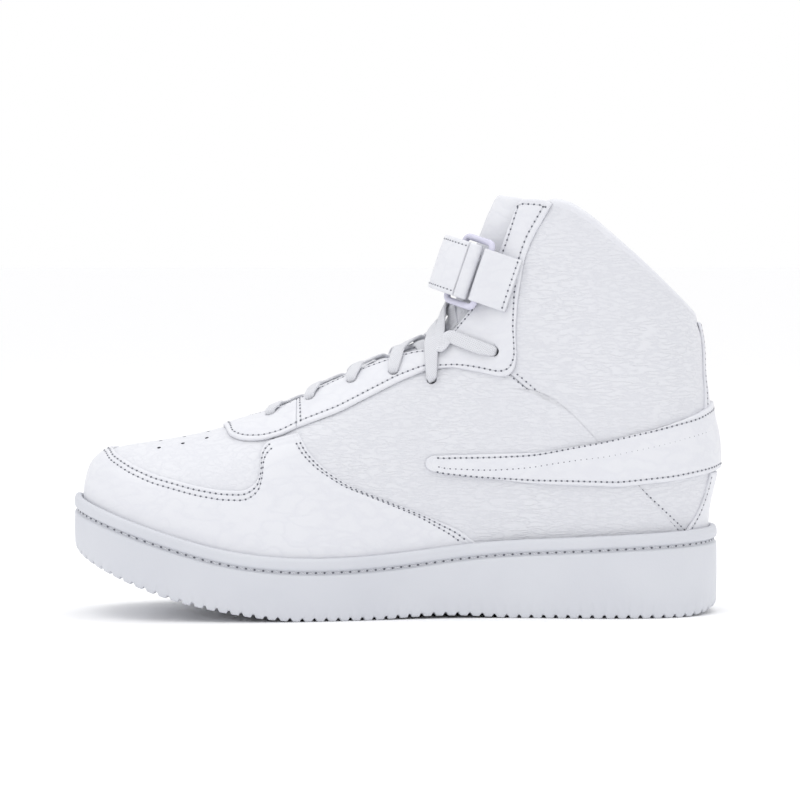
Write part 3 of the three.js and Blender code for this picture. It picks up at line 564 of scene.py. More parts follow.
def new_finish(name, roughness, ior=1.5):
    """An empty finish with its Principled shader, and the Object coordinates to lay patterns on."""
    made = bpy.data.materials.new(name)
    made.use_nodes = True
    tree = made.node_tree
    shader = tree.nodes["Principled BSDF"]
    shader.inputs["Roughness"].default_value = roughness
    shader.inputs["IOR"].default_value = ior
    coords = add_node(tree, "ShaderNodeTexCoord")
    return made, tree, shader, coords


def scaled(tree, source, size_mm):
    """Coordinates laid out so that one pattern repeat is size_mm, one size or one for each axis."""
    sizes = np.broadcast_to(np.asarray(size_mm, float), 3)
    repeats = tuple(1 / (size * MM) for size in sizes)
    return add_node(tree, "ShaderNodeMapping", {"Vector": source, "Scale": repeats}).outputs[0]


def noise(tree, source, size_mm, detail, **more):
    """A soft noise whose lumps are about this size."""
    feeds = {"Vector": scaled(tree, source, size_mm), "Scale": 1.0, "Detail": detail, **more}
    return add_node(tree, "ShaderNodeTexNoise", feeds).outputs[0]


def cells(tree, source, size_mm, **more):
    """Distance from the middle of the nearest Voronoi cell, for cells of this size."""
    feeds = {"Vector": scaled(tree, source, size_mm), "Scale": 1.0, **more}
    return add_node(tree, "ShaderNodeTexVoronoi", feeds).outputs["Distance"]


def tinted(tree, shader, factor, low, high):
    """Base colour that runs from low to high with a pattern."""
    mix = add_node(tree, "ShaderNodeMix", data_type="RGBA")
    mix.inputs[6].default_value, mix.inputs[7].default_value = linear(low), linear(high)
    tree.links.new(factor, mix.inputs[0])
    tree.links.new(mix.outputs[2], shader.inputs["Base Color"])


def stretched(tree, value, low, high, to_low=0.0, to_high=1.0):
    """A pattern value spread from low..high to a new range, and held there beyond it."""
    feeds = {"Value": value, 1: low, 2: high, 3: to_low, 4: to_high}
    return add_node(tree, "ShaderNodeMapRange", feeds).outputs[0]


def summed(tree, first, second, weight):
    """First plus weight times second."""
    feeds = {0: second, 1: weight, 2: first}
    return add_node(tree, "ShaderNodeMath", feeds, operation="MULTIPLY_ADD").outputs[0]


def raised(tree, shader, height, depth_mm, strength=1.0):
    """Bump of this depth."""
    feeds = {"Height": height, "Distance": depth_mm * MM, "Strength": strength}
    bump = add_node(tree, "ShaderNodeBump", feeds)
    tree.links.new(bump.outputs[0], shader.inputs["Normal"])


def lit_through(shader, weight, radius_mm):
    """Lets a little light scatter under the surface."""
    shader.inputs["Subsurface Weight"].default_value = weight
    shader.inputs["Subsurface Radius"].default_value = (radius_mm * MM,) * 3


# %% Coated leather
def coated_leather(name, grain_mm, crease_mm, crease, light, shade, roughness=0.44):
    """Split hide, tumbled and coated with white polyurethane. Pebbles are Voronoi cells of the grain size,
    and the creases are the zero lines of a noise that is stretched along the shoe. The colour follows the
    same height as the bump, so the creases and the borders of the pebbles get painted shade."""
    made, tree, shader, coords = new_finish(name, roughness)
    at = coords.outputs["Object"]
    pebbles = stretched(tree, cells(tree, at, grain_mm), 0.0, 0.75, 1.0, 0.0)
    folds = noise(tree, at, crease_mm, 1.5, Distortion=0.25)
    away = add_node(tree, "ShaderNodeMath", {0: folds, 1: 0.5}, operation="SUBTRACT")
    from_line = add_node(tree, "ShaderNodeMath", {0: away.outputs[0]}, operation="ABSOLUTE")
    creases = stretched(tree, from_line.outputs[0], 0.0, 0.11)
    where = stretched(tree, noise(tree, at, 34, 1.0), 0.2, 0.7, 0.35, 1.0)
    held = add_node(tree, "ShaderNodeMath", {0: creases, 1: where}, operation="MULTIPLY").outputs[0]
    height = summed(tree, held, pebbles, 0.28)
    raised(tree, shader, height, crease)
    # Painted shade: the colour runs from the shade tone in the creases and pebble hollows to the light tone
    # on the raised grain.
    tinted(tree, shader, stretched(tree, height, 0.0, 0.9), shade, light)
    soft_gloss = stretched(tree, pebbles, 0.0, 1.0, roughness + 0.08, roughness - 0.05)
    tree.links.new(soft_gloss, shader.inputs["Roughness"])
    lit_through(shader, 0.05, 2)
    return made


# Each leather gets a light and a shade tone of its white; the shade tone is painted shade in its creases and
# grain hollows.
shaft_leather = coated_leather("tumbled_leather_coated", 1.2, (6.5, 6.5, 1.7), 0.15, "DADBE0", "D2D3D9")
smooth_leather = coated_leather("smooth_leather_coated", 1.1, (11, 11, 6), 0.07, "DDDEE3", "D9DAE0", 0.4)
toe_leather = coated_leather("pebbled_leather_coated", 1.1, (5, 5, 3), 0.1, "DCDDE2", "D6D7DD")


# %% [markdown]
# Rubber, thread, cloth, foam, board and plastic follow. Each gets the one or two patterns that tell it
# apart: a satin skin with faint mould bloom for the sole, twisted ply for thread, a plain weave for the lace,
# a knit for the lining, open cells for foam, fibres for board, and moulded gloss for the ring. In the thread,
# the lace, the knits and the foam the colour is darker in the hollows of the pattern, which is painted shade.

# %% Other finishes
def moulded_rubber(name, light, shade):
    """Natural-white rubber from a steel mould: satin, with a fine eroded grain and a slow change of tone."""
    made, tree, shader, coords = new_finish(name, 0.5, 1.52)
    fine = noise(tree, coords.outputs["Object"], 0.9, 3.0)
    slow = noise(tree, coords.outputs["Object"], 45, 2.0)
    tinted(tree, shader, stretched(tree, slow, 0.3, 0.7), shade, light)
    raised(tree, shader, fine, 0.05, 0.8)
    tree.links.new(stretched(tree, fine, 0.3, 0.7, 0.46, 0.56), shader.inputs["Roughness"])
    lit_through(shader, 0.08, 3)
    return made


def spun_thread(name, light, shade):
    """Bonded polyester thread: two plies whose twist shows as slanting bands. The colour follows the bump
    of the bands, with painted shade in the grooves of the twist.
    """
    made, tree, shader, coords = new_finish(name, 0.55)
    bands = add_node(
        tree, "ShaderNodeTexWave",
        {"Vector": scaled(tree, coords.outputs["Object"], 2.2), "Scale": 1.0, "Distortion": 1.0},
        bands_direction="DIAGONAL",
    )
    tinted(tree, shader, bands.outputs[1], shade, light)
    raised(tree, shader, bands.outputs[1], 0.08)
    shader.inputs["Sheen Weight"].default_value = 0.2
    return made


def woven_cord(name, light, shade, yarn_mm):
    """A flat plain-woven lace. Two crossed waves on its own length and width, in millimetres, are the
    yarns. The colour follows their height, with painted shade where the yarns dip."""
    made, tree, shader, coords = new_finish(name, 0.85)
    per_yarn = (1 / yarn_mm, 1 / yarn_mm, 1)
    flat = add_node(tree, "ShaderNodeMapping", {"Vector": coords.outputs["UV"], "Scale": per_yarn}).outputs[0]
    slant = (0, 0, math.radians(45))
    turned = add_node(tree, "ShaderNodeMapping", {"Vector": flat, "Rotation": slant}).outputs[0]
    over, under = (
        add_node(tree, "ShaderNodeTexWave", {"Vector": turned, "Scale": 0.45}, bands_direction=way).outputs[1]
        for way in ("X", "Y")
    )
    cloth = add_node(tree, "ShaderNodeMath", {0: over, 1: under}, operation="MAXIMUM").outputs[0]
    tinted(tree, shader, cloth, shade, light)
    raised(tree, shader, cloth, 0.18)
    shader.inputs["Sheen Weight"].default_value = 0.35
    shader.inputs["Sheen Roughness"].default_value = 0.5
    return made


def knitted_cloth(name, light, shade, cell_mm, depth_mm=0.25):
    """Polyester knit: rounded cells of the knit's own size, with a soft fuzz over them. The colour follows
    their height, with painted shade in the hollows.
    """
    made, tree, shader, coords = new_finish(name, 0.9)
    knit = cells(tree, coords.outputs["Object"], cell_mm, Randomness=0.35)
    fuzz = noise(tree, coords.outputs["Object"], 0.5, 3.0)
    height = summed(tree, stretched(tree, knit, 0.15, 0.6), fuzz, 0.3)
    tinted(tree, shader, height, shade, light)
    raised(tree, shader, height, depth_mm)
    shader.inputs["Sheen Weight"].default_value = 0.3
    return made


def cellular_foam(name, light, shade, cell_mm):
    """Foam: open cells of one size, matt, with painted shade in the pits of the cells."""
    made, tree, shader, coords = new_finish(name, 0.92)
    open_cells = cells(tree, coords.outputs["Object"], cell_mm)
    tinted(tree, shader, stretched(tree, open_cells, 0.0, 0.6), shade, light)
    raised(tree, shader, open_cells, 0.2)
    return made


def pressed_board(name, light, shade):
    """Fibre board: long fibres pressed flat, as a noise stretched along the shoe."""
    made, tree, shader, coords = new_finish(name, 0.85)
    fibres = noise(tree, coords.outputs["Object"], (6, 0.8, 0.8), 4.0)
    tinted(tree, shader, stretched(tree, fibres, 0.35, 0.65), shade, light)
    raised(tree, shader, fibres, 0.1)
    return made


def moulded_plastic(name, light, shade):
    """Acetal from a polished mould: glossy, faintly see-through, with a slow flow mark."""
    made, tree, shader, coords = new_finish(name, 0.24, 1.48)
    flow = noise(tree, coords.outputs["Object"], 9, 1.0)
    tinted(tree, shader, flow, shade, light)
    raised(tree, shader, flow, 0.08, 0.5)
    tree.links.new(stretched(tree, flow, 0.3, 0.7, 0.2, 0.3), shader.inputs["Roughness"])
    lit_through(shader, 0.15, 2)
    return made


sole_rubber = moulded_rubber("cupsole_rubber_moulded", "CFD1D7", "C9CBD2")
white_thread = spun_thread("polyester_thread_bonded", "D6D7DC", "BFC1C8")
# Painted shadow: a dark grey finish for the flat ellipsoids that stand for the shade inside each needle hole.
needle_shadow = cellular_foam("needle_hole_painted_shadow", "6E707A", "5C5E68", 0.4)
lace_cloth = woven_cord("polyester_lace_woven", "E0E1E6", "C9CBD2", 1.1)
lining_cloth = knitted_cloth("lining_mesh_knitted", "D8D9DF", "B9BBC4", 1.3)
sock_cloth = knitted_cloth("sockliner_cloth_woven", "DADBE0", "C2C4CB", 1.0, 0.15)
loop_pile = knitted_cloth("loop_tape_brushed", "DEDFE3", "C0C2C9", 0.9, 0.45)
hook_field = knitted_cloth("hook_tape_moulded", "DADBE0", "B2B5BE", 1.1, 0.5)
pad_foam = cellular_foam("polyurethane_foam_cut", "E9E6DC", "D6D2C6", 0.9)
midsole_foam = cellular_foam("eva_foam_moulded", "EDECE8", "DEDCD6", 1.6)
fibre_board = pressed_board("cellulose_board_pressed", "DCD3C0", "BFB49D")
ring_plastic = moulded_plastic("acetal_ring_moulded", "D8D7E6", "CBCADD")
print("Finishes:", len(bpy.data.materials))

# %% [markdown]
# ## The cupsole
#
# The sole is one moulded cup. Its wall bulges slightly, a groove for the stitching runs round it below the
# lip, and the bottom edge is notched like a file. The wall is a profile carried round the plan, with ten
# stations to each notch so that the teeth stay crisp.

# %% Cupsole
TOOTH, PER_TOOTH, TOOTH_DEPTH = 5.6, 10, 1.5  # pitch, stations to each, and depth
loop_angles = np.linspace(0, 360, 2881)[:-1]
loop_side = np.where(loop_angles > 180, 1.0, -1.0)
rough_loop = plan_point(loop_side, np.minimum(loop_angles, 360 - loop_angles))
loop_walk = walk(np.concatenate([rough_loop, rough_loop[:1]]))
TEETH = 2 * int(loop_walk[-1] / TOOTH / 2)
half_walk = np.interp(180, np.append(loop_angles, 360), loop_walk)
stations = TEETH * PER_TOOTH // 2
medial_angles = np.interp(np.linspace(0, half_walk, stations + 1), loop_walk[:1441], loop_angles[:1441])
lateral_angles = 360 - medial_angles[::-1]
round_angles = np.concatenate([medial_angles, lateral_angles[1:-1]])
round_side = np.where(round_angles > 180, 1.0, -1.0)
round_a = np.minimum(round_angles, 360 - round_angles)
notch = ease(np.cos(2 * np.pi * walk(plan_point(round_side, round_a)) / TOOTH), 0.25, 0.95)

GROOVE_DROP, GROOVE_DEPTH, GROOVE_HEIGHT = 6.6, 1.7, 2.2
groove_middle = lip(round_a) - GROOVE_DROP
floor_height = sole(round_a)
foot_of_groove = groove_middle - GROOVE_HEIGHT / 2
wall_height = foot_of_groove - floor_height
wall_rows = [
    (-2.4, floor_height + TOOTH_DEPTH * notch * 0.9), (-1.4, floor_height + TOOTH_DEPTH * notch),
    (-0.75, floor_height + 0.25 + TOOTH_DEPTH * notch), (-0.4, floor_height + 0.8 + 1.0 * notch),
    (-0.25 - 0.25 * notch, floor_height + 1.7 + 0.5 * notch), (-0.2, floor_height + 3.0),
    (-0.08, floor_height + 0.3 * wall_height), (0.0, floor_height + 0.5 * wall_height),
    (-0.04, floor_height + 0.75 * wall_height), (-0.15, foot_of_groove - 1.2),
    (-0.3, foot_of_groove - 0.35), (-0.65, foot_of_groove), (-1.3, foot_of_groove + 0.2),
    (-GROOVE_DEPTH, groove_middle - 0.35), (-GROOVE_DEPTH, groove_middle + 0.35),
    (-1.3, groove_middle + 0.95),
    (-0.6, groove_middle + 1.15), (-0.2, groove_middle + 1.6), (-0.02, groove_middle + 2.4),
    (0.0, groove_middle + 3.4), (-0.1, groove_middle + 4.6), (-0.35, groove_middle + 5.5),
    (-0.85, groove_middle + 6.2), (-1.6, groove_middle + 6.6), (-2.5, groove_middle + 6.6),
    (-3.2, groove_middle + 6.3), (-CUP_WALL, groove_middle + 5.4),
    (-CUP_WALL, groove_middle - 2), (-CUP_WALL, floor_height + OUTSOLE),
]


def ring_row(offset, height):
    """A closed row of points round the sole, at a distance from its plan and a height."""
    away = np.broadcast_to(offset, round_a.shape)[:, None]
    flat = plan_point(round_side, round_a) + plan_normal(round_side, round_a) * away
    return np.column_stack([flat, height])


def spine_row(share, height, offset):
    """The same row drawn in towards the middle line of the sole by a share of the way."""
    edge = ring_row(offset, height)
    spine = np.column_stack([-0.975 * HALF_LENGTH * np.cos(np.radians(round_a)), swing(round_a), height])
    return edge + (spine - edge) * share


RIB, RIB_PITCH, ZIGZAG = 1.3, 6.4, 9.0  # herringbone ribs under the sole: depth, pitch, width of one zigzag
under_rows = []
for share in (1.0, 0.88, 0.76, 0.64, 0.52, 0.4, 0.3, 0.22, 0.14, 0.08, 0.03):
    flat_row = spine_row(share, floor_height, -2.4)
    zigzag = flat_row[:, 0] + 3.2 * np.abs(((flat_row[:, 1] / ZIGZAG) % 2) - 1) * 2
    ribs = ease(np.sin(2 * np.pi * zigzag / RIB_PITCH), -0.25, 0.25)
    edge_rib = notch * ease(share, 0.16, 0.03) if share < 0.16 else 0
    flat_row[:, 2] += RIB * np.maximum(ribs if 0.1 < share < 0.95 else 0, edge_rib)
    under_rows.append(flat_row)
inner_rows = [spine_row(share, floor_height + OUTSOLE, -CUP_WALL) for share in (0.4, 1.0)]
cup_grid = np.stack(under_rows + [ring_row(*row) for row in wall_rows] + inner_rows)
cup_faces = grid_faces(len(cup_grid), len(round_a), ring=True)
make_piece(
    "cupsole_moulded", cup_grid.reshape(-1, 3), cup_faces, sole_rubber,
    stands_for=["cupsole"],
)
print("Teeth round the sole:", TEETH, " triangles:", 2 * len(cup_faces))

# %% [markdown]
# ## Stitches
#
# A lockstitch shows as a short stitch of thread, sunk a little in the leather, then a needle hole, then the
# next stitch. One small ellipsoid is copied along each line: its long axis lies along the seam. A darker,
# flatter one in each needle hole is painted shadow, because the shadow in those holes is what the eye
# reads as stitching.

# %% Stitch tools
# Thread stitches, and dark flat ellipsoids that are painted needle-hole shadow, kept by body.
thread_parts, hole_shadow_parts = {}, {}


def ellipsoids(centres, along, up, half_sizes, rings=5, around=6):
    """Copies of one ellipsoid: sine and cosine rings, scaled along, across and up, placed at every centre."""
    lat = np.linspace(0, np.pi, rings)
    lon = np.linspace(0, 2 * np.pi, around, endpoint=False)
    ball = [np.repeat(np.cos(lat), around), np.outer(np.sin(lat), np.cos(lon)).ravel()]
    ball.append(np.outer(np.sin(lat), np.sin(lon)).ravel())
    ball_points = np.stack(ball, -1) * np.array(half_sizes)
    side = unit(np.cross(up, along))
    up = np.cross(along, side)
    frames = np.stack([along, side, up], 1)
    points = centres[:, None] + np.einsum("vk,nkc->nvc", ball_points, frames)
    first = (np.arange(len(centres)) * rings * around)[:, None, None]
    return points.reshape(-1, 3), (grid_faces(rings, around, ring=True)[None] + first).reshape(-1, 4)


def sew(line, normals, body="shoe", pitch=2.6, length=1.6, thick=0.55, sink=0.12):
    """Stitches along a line of points on a surface, with a dark ellipsoid between each two that is the
    painted shadow of a needle hole.
    """
    lengths = walk(line)
    count = max(int(lengths[-1] / pitch), 1)
    middles = (np.arange(count) + 0.5) * lengths[-1] / count
    gaps = np.arange(count + 1) * lengths[-1] / count
    # The second kind is a dark flat ellipsoid in each gap: painted shadow of a needle hole.
    for wanted, store, sizes, lift in (
        (middles, thread_parts, (length / 2, thick / 2, thick * 0.42), -sink),
        (gaps, hole_shadow_parts, (0.52, 0.45, 0.2), -0.06),
    ):
        centres = resample(line, lengths, wanted)
        up = unit(resample(normals, lengths, wanted))
        along = unit(resample(line, lengths, wanted + 0.2) - resample(line, lengths, wanted - 0.2))
        store.setdefault(body, []).append((centres + up * lift, along, up, sizes))


def sew_panel(panel, which, distance, out, start=0.0, stop=1.0):
    """A row of stitches inside one edge of a panel, on its outer surface."""
    spots = panel.line(which, distance, start, stop)
    sew(place(spots, np.full(len(spots), out)), normal_at(spots))


def gather(name, rows, finish, body, stands_for=()):
    """All the rows of stitches that move together, as one piece."""
    points, faces, first = [], [], 0
    for centres, along, up, sizes in rows:
        p, f = ellipsoids(centres, along, up, sizes)
        points.append(p)
        faces.append(f + first)
        first += len(p)
    return make_piece(name, np.concatenate(points), np.concatenate(faces), finish, body, stands_for)


# %% Sidewall stitching
groove_line = ring_row(-1.35, groove_middle)
groove_line = np.concatenate([groove_line, groove_line[:1]])
groove_out = np.column_stack([plan_normal(round_side, round_a), np.zeros(len(round_a))])
groove_out = np.concatenate([groove_out, groove_out[:1]])
sew(groove_line, groove_out, "sidewall", pitch=4.0, length=3.4, thick=1.0, sink=0.25)
gather(
    "sidewall_stitches", thread_parts.pop("sidewall"), white_thread, "shoe",
    ["sidewall_thread"],
)
# The groove's dark needle-hole ellipsoids are painted shadow, and join those of the upper.
groove_hole_shadows = hole_shadow_parts.pop("sidewall")
hole_shadow_parts.setdefault("shoe", []).extend(groove_hole_shadows)
print("Stitches in the groove:", len(groove_hole_shadows[0][0]) - 1)

# %% [markdown]
# ## Base panels
#
# Three kinds of base panel make the body of the upper: one toe box over the top of the foot, and a quarter
# and an ankle panel on each side. Their hidden edges run on under the overlays, as on a real shoe, so no gap
# shows. The ankle panel is the most wrinkled, so its grid is crumpled a little as well.

# %% Outlines seen from the side
BASE = (-1.3, 0.0)  # distances of the two faces of a base panel from the skin
OVERLAY = (0.35, 1.65)  # distances of the stitched-on layer from the skin
COLLAR = [
    (48.3, 186.4), (51.6, 189.8), (57.7, 192.4), (64.7, 192), (72.7, 190), (78.8, 188.6), (88.1, 182.6),
    (95.2, 176.8), (113.9, 161.2), (132.7, 144.6), (139.7, 138.2),
]
COLLAR_BACK = 135.5
TOE_SEAM = [(-57, 83), (-55, 75), (-48, 61), (-42, 50), (-37, 38), (-34, 22)]
QUARTER_SEAM = [(40, 123), (53.9, 110.2), (91.4, 77.8), (108.3, 60), (130.3, 39.4), (137, 32), (141, 26)]
CUT_OUT = [
    (-62.3, 76.5), (-62.1, 70), (-63.3, 63.3), (-68.9, 59.2), (-80.6, 59.5), (-92.3, 61.4), (-111, 66.1),
    (-120.5, 69.8), (-129.6, 74.6),
]
OVERLAY_REAR = [
    (-45.1, 84.9), (-40.1, 75.7), (-33, 68.6), (-20.8, 60.5), (-8, 55.4), (11.9, 47.6), (28.6, 40.3),
    (42, 30), (52, 19),
]
BOW_EDGE = [(-46, 87), (-53, 83.6), (-61.9, 81.2), (-71.3, 81.0), (-77.5, 82.9)]
EYESTAY_EDGE = [
    (-46, 87), (-26.7, 94.2), (1.4, 108.3), (15.5, 113.9), (24.8, 114.8), (38.9, 112.5), (48.3, 110.2),
    (53, 111.6), (55.3, 117.7), (54.8, 131.7), (55.8, 145.8), (58.6, 163.6), (62.3, 173.9), (68.4, 184.7),
    (71.5, 190.2),
]
MEDIAL, LATERAL = -1, 1
SIDES = (("medial", MEDIAL), ("lateral", LATERAL))


def collar_height(x):
    """Height of the collar line at x, seen from the side."""
    return np.interp(x, *np.array(COLLAR + [(151, COLLAR_BACK)]).T)


def mirrored(spots):
    """The same spots on the other side, across the ridge, walked the other way."""
    return np.column_stack([spots[::-1, 0], 2 - spots[::-1, 1]])


def under_foot(side, x0, x1, count=60):
    """Spots along the feather edge between two x."""
    angle = np.interp(np.linspace(x0, x1, count), FOOT_X[side], TABLE)
    return np.column_stack([angle, np.full(count, 0.0 if side < 0 else 2.0)])


def throat_spots(side, x0, x1, count=80):
    """Spots along the edge of the throat between two x."""
    x = np.linspace(x0, x1, count)
    return from_above(x, centre_at(x) + side * throat_half(x))


def clothe(name, panel, finish, slot, node, inner, outer, **more):
    """A panel made into one piece of leather that stands for a CAD piece."""
    points, faces = leather_shell(panel, inner, outer, **more)
    return make_piece(name, points, faces, finish, stands_for=[node])


def overlay(name, panel, node, inner=OVERLAY[0], outer=OVERLAY[1], **more):
    """A panel of smooth leather on top of the base panels."""
    return clothe(name, panel, smooth_leather, "overlay_leather", node, inner, outer, **more)


# %% Toe box
TOE_REAR = -57
over_foot = np.linspace(-48, 48, 41)
toe_x = np.full(41, float(TOE_REAR)) - 11.5 * np.exp(-((over_foot / 9) ** 2))
toe_rear = from_above(toe_x, centre_at(TOE_REAR) + over_foot * 0.93)
toe_side = [(TOE_REAR, 76), (-54, 66), (-50, 50), (-46, 36), (-44, 22)]
on_top = toe_rear[(toe_rear[:, 1] > 0.45) & (toe_rear[:, 1] < 1.55)]
toe_rear = np.concatenate([seen(toe_side[::-1]), on_top, seen(toe_side, LATERAL)])
toe_front = np.array([(5.0, 0.0), (5.0, 0.5), (5.0, 1.0), (5.0, 1.5), (5.0, 2.0)])
toe_panel = Panel(
    drawn(toe_front, sigma=0.5), drawn(toe_rear),
    drawn(under_foot(MEDIAL, -143, -44)), drawn(under_foot(LATERAL, -143, -44)), step=1.3,
)
toe_box = clothe("toe_box_leather", toe_panel, toe_leather, "upper_leather", "toe_box", *BASE, swell=0.1)

# %% Quarters and ankle panels
SEAM_ROW = 2.2
bases = [toe_box]
for name, side in SIDES:
    seam = seen(QUARTER_SEAM, side)
    quarter_top = [(-57, 83), (-46, 91), (-26.7, 98.5), (1.4, 112.5), (15.5, 118.5), (28, 121), (40, 123)]
    quarter = Panel(
        drawn(under_foot(side, -34, 141)), drawn(seen(quarter_top, side)),
        drawn(seen(TOE_SEAM[::-1], side)), drawn(seam[::-1]),
    )
    bases.append(clothe(
        f"quarter_{name}_leather", quarter, shaft_leather, "upper_leather", f"quarter_{name}", *BASE,
        dips=[("right", SEAM_ROW)], swell=0.35, crumple=0.045,
    ))
    front = [(40, 123), (45, 140), (50, 160), (56, 178), (61, 192.1)]
    collar_top = seen([(61, 192.1)] + COLLAR[3:] + [(150.3, COLLAR_BACK)], side)
    feather_end = np.array([(180.0, 0.0 if side < 0 else 2.0)])
    heel_rise = at_height(np.full(40, 180.0), np.linspace(27.5, COLLAR_BACK, 40))
    if side > 0:
        heel_rise[:, 1] = 2 - heel_rise[:, 1]
    ankle = Panel(
        drawn(seam, under_foot(side, 142, 144.3, 6), feather_end), drawn(collar_top, heel_rise[-1:]),
        drawn(seen(front, side)), drawn(heel_rise),
    )
    bases.append(clothe(
        f"ankle_{name}_leather", ankle, shaft_leather, "upper_leather", f"ankle_panel_{name}", *BASE,
        swell=0.5, crumple=0.07,
    ))
    sew_panel(quarter, "right", SEAM_ROW, 0.0, 0.1, 0.97)
    beyond_seam = seen([(x + 1.6, z + 1.6) for x, z in QUARTER_SEAM[1:-1]], side)
    seam_line = drawn(beyond_seam)(np.linspace(0, 1, 200))
    sew(place(seam_line, np.full(200, 0.05)), normal_at(seam_line))
print("Base panels and their stitches are in place.")

# %% [markdown]
# ## Overlays
#
# The mudguard wraps round the toe from one side to the other, with a hollow cut out over the toes. The bow
# closes the throat in front, the two eyestays carry the lace holes, and small pieces cover the heel. The edge
# of every overlay is skived and turned, so it rises from the base as a rounded step with stitches along it.

# %% Mudguard
cut_half = seen([(-45.1, 84.9), (-54, 82.6), (-60, 80.8)] + CUT_OUT)
cut_front = np.array([(np.interp(-132.8, FOOT_X[MEDIAL], TABLE), 1.0)])
cut_line = drawn(cut_half, cut_front, mirrored(cut_half), sigma=1.8)
toe_round = np.array([(0.3, 0.0), (0.3, 1.0), (0.3, 2.0)])
feather_half = under_foot(MEDIAL, 52, -143.5, 160)
feather_line = drawn(feather_half, toe_round, mirrored(feather_half), sigma=1.0)
mudguard = Panel(
    feather_line, cut_line, drawn(seen(OVERLAY_REAR[::-1])), drawn(seen(OVERLAY_REAR[::-1], LATERAL)),
    step=1.4,
)
EDGE_ROWS = (2.1, 4.6)
mudguard_dips = [(edge, row) for edge in ("high", "left", "right") for row in EDGE_ROWS]
overlay(
    "mudguard_leather", mudguard, "front_overlay", rolled=("high", "left", "right"), dips=mudguard_dips,
    swell=0.15,
)
for row in EDGE_ROWS:
    sew_panel(mudguard, "high", row, OVERLAY[1], 0.055, 0.945)
    sew_panel(mudguard, "left", row, OVERLAY[1], 0.2, 0.95)
    sew_panel(mudguard, "right", row, OVERLAY[1], 0.2, 0.95)

# %% Bow and eyestays
bow_half = seen(BOW_EDGE)
bow_front = np.array([(np.interp(-81.3, FOOT_X[MEDIAL], TABLE), 1.0)])
throat_tip = from_above([-66.0], [centre_at(-66.0)])
throat_nose = throat_spots(MEDIAL, -46, -62.5, count=20)
bow = Panel(
    drawn(bow_half, bow_front, mirrored(bow_half)),
    drawn(throat_nose, throat_tip, mirrored(throat_nose), sigma=1.2), step=1.2,
)
eyestay_bow = overlay("eyestay_bow_leather", bow, "eyestay_bow", 0.45, 1.85, dips=[("low", 2.6)], swell=0.1)
sew_panel(bow, "low", 2.6, 1.85)
sew_panel(bow, "high", 2.0, 1.8, 0.05, 0.95)

EYESTAY_ROWS = [  # edge, distance of its row of stitches, and where the row starts and stops
    ("low", 2.8, 0.01, 0.985), ("high", 2.2, 0.02, 0.98), ("left", 2.0, 0.1, 0.9), ("right", 2.6, 0.1, 0.9),
]
eyestays = []
for name, side in SIDES:
    throat_edge = throat_spots(side, -46, 56)
    height = place(throat_edge, np.zeros(80))
    throat_edge = throat_edge[height[:, 2] < collar_height(height[:, 0])]
    top = [(x, z) for x, z in COLLAR if place(throat_edge[-1:], np.zeros(1))[0, 0] + 1.5 < x < 70]
    panel = Panel(
        drawn(seen(EYESTAY_EDGE, side), sigma=1.8), drawn(throat_edge), None,
        drawn(seen(EYESTAY_EDGE[-1:], side), seen(top[::-1], side), throat_edge[-1:]), step=1.3,
    )
    eyestays.append(overlay(
        f"eyestay_{name}_leather", panel, f"eyestay_{name}", 0.38, 1.75,
        dips=[(edge, row) for edge, row, _, _ in EYESTAY_ROWS], swell=0.2, crumple=0.02,
    ))
    for edge, row, start, stop in EYESTAY_ROWS:
        sew_panel(panel, edge, row, 1.75, start, stop)

# %% Heel pieces
foxing_edge = seen([(144.6, 66), (142.4, 56), (138.8, 47.6), (133.3, 39.8), (124, 26)])
far_edge = np.column_stack([360 - foxing_edge[:, 0], foxing_edge[:, 1]])
foxing = Panel(
    drawn(np.array([(foxing_edge[-1, 0], 0.0), (180.0, 0.0), (far_edge[-1, 0], 0.0)])),
    drawn(at_height(np.linspace(foxing_edge[0, 0], far_edge[0, 0], 80), np.full(80, 66.0))),
    drawn(foxing_edge[::-1]), drawn(far_edge[::-1]), step=1.4,
)
overlay("heel_foxing_leather", foxing, "heel_foxing", dips=[("left", 2.2), ("right", 2.2)], swell=0.15)
for edge in ("left", "right"):
    sew_panel(foxing, edge, 2.2, OVERLAY[1], 0.1, 0.95)


def behind(y, z):
    """Spots on the back of the heel for (y, z) points seen from the rear, found by stepping the angle."""
    angles = np.linspace(120, 180, 601)
    reach = -place(at_height(angles, np.full(601, float(z))), np.zeros(601))[:, 1]
    angle = np.interp(-abs(y), -reach, angles)
    return at_height(np.array([angle if y < 0 else 360 - angle]), np.array([float(z)]))[0]


BACKSTAY = [(14, 93), (9.5, 106), (7, 118), (6.3, 128), (7.2, 135.2)]
left_edge = np.array([behind(-y, z) for y, z in stepped(np.array(BACKSTAY))])
right_edge = np.array([behind(y, z) for y, z in stepped(np.array(BACKSTAY))])
backstay = Panel(
    drawn(left_edge[:1], at_height(np.array([180.0]), np.array([93.0])), right_edge[:1]),
    drawn(left_edge[-1:], at_height(np.array([180.0]), np.array([COLLAR_BACK])), right_edge[-1:]),
    drawn(left_edge), drawn(right_edge), step=1.3,
)
overlay("backstay_leather", backstay, "backstay", dips=[("left", 1.9), ("right", 1.9)])
for edge in ("left", "right"):
    sew_panel(backstay, edge, 1.9, OVERLAY[1], 0.04, 0.96)

# %% Heel wrap
WRAP_TOP = [(17, 74.6), (40, 75.2), (65.2, 75.8), (95, 79), (120, 86), (138.5, 93.6), (148, 98.4)]
WRAP_FOOT = [(17, 67), (35, 64.6), (65.2, 61.4), (101.9, 60.4), (128, 63), (146, 66.6)]


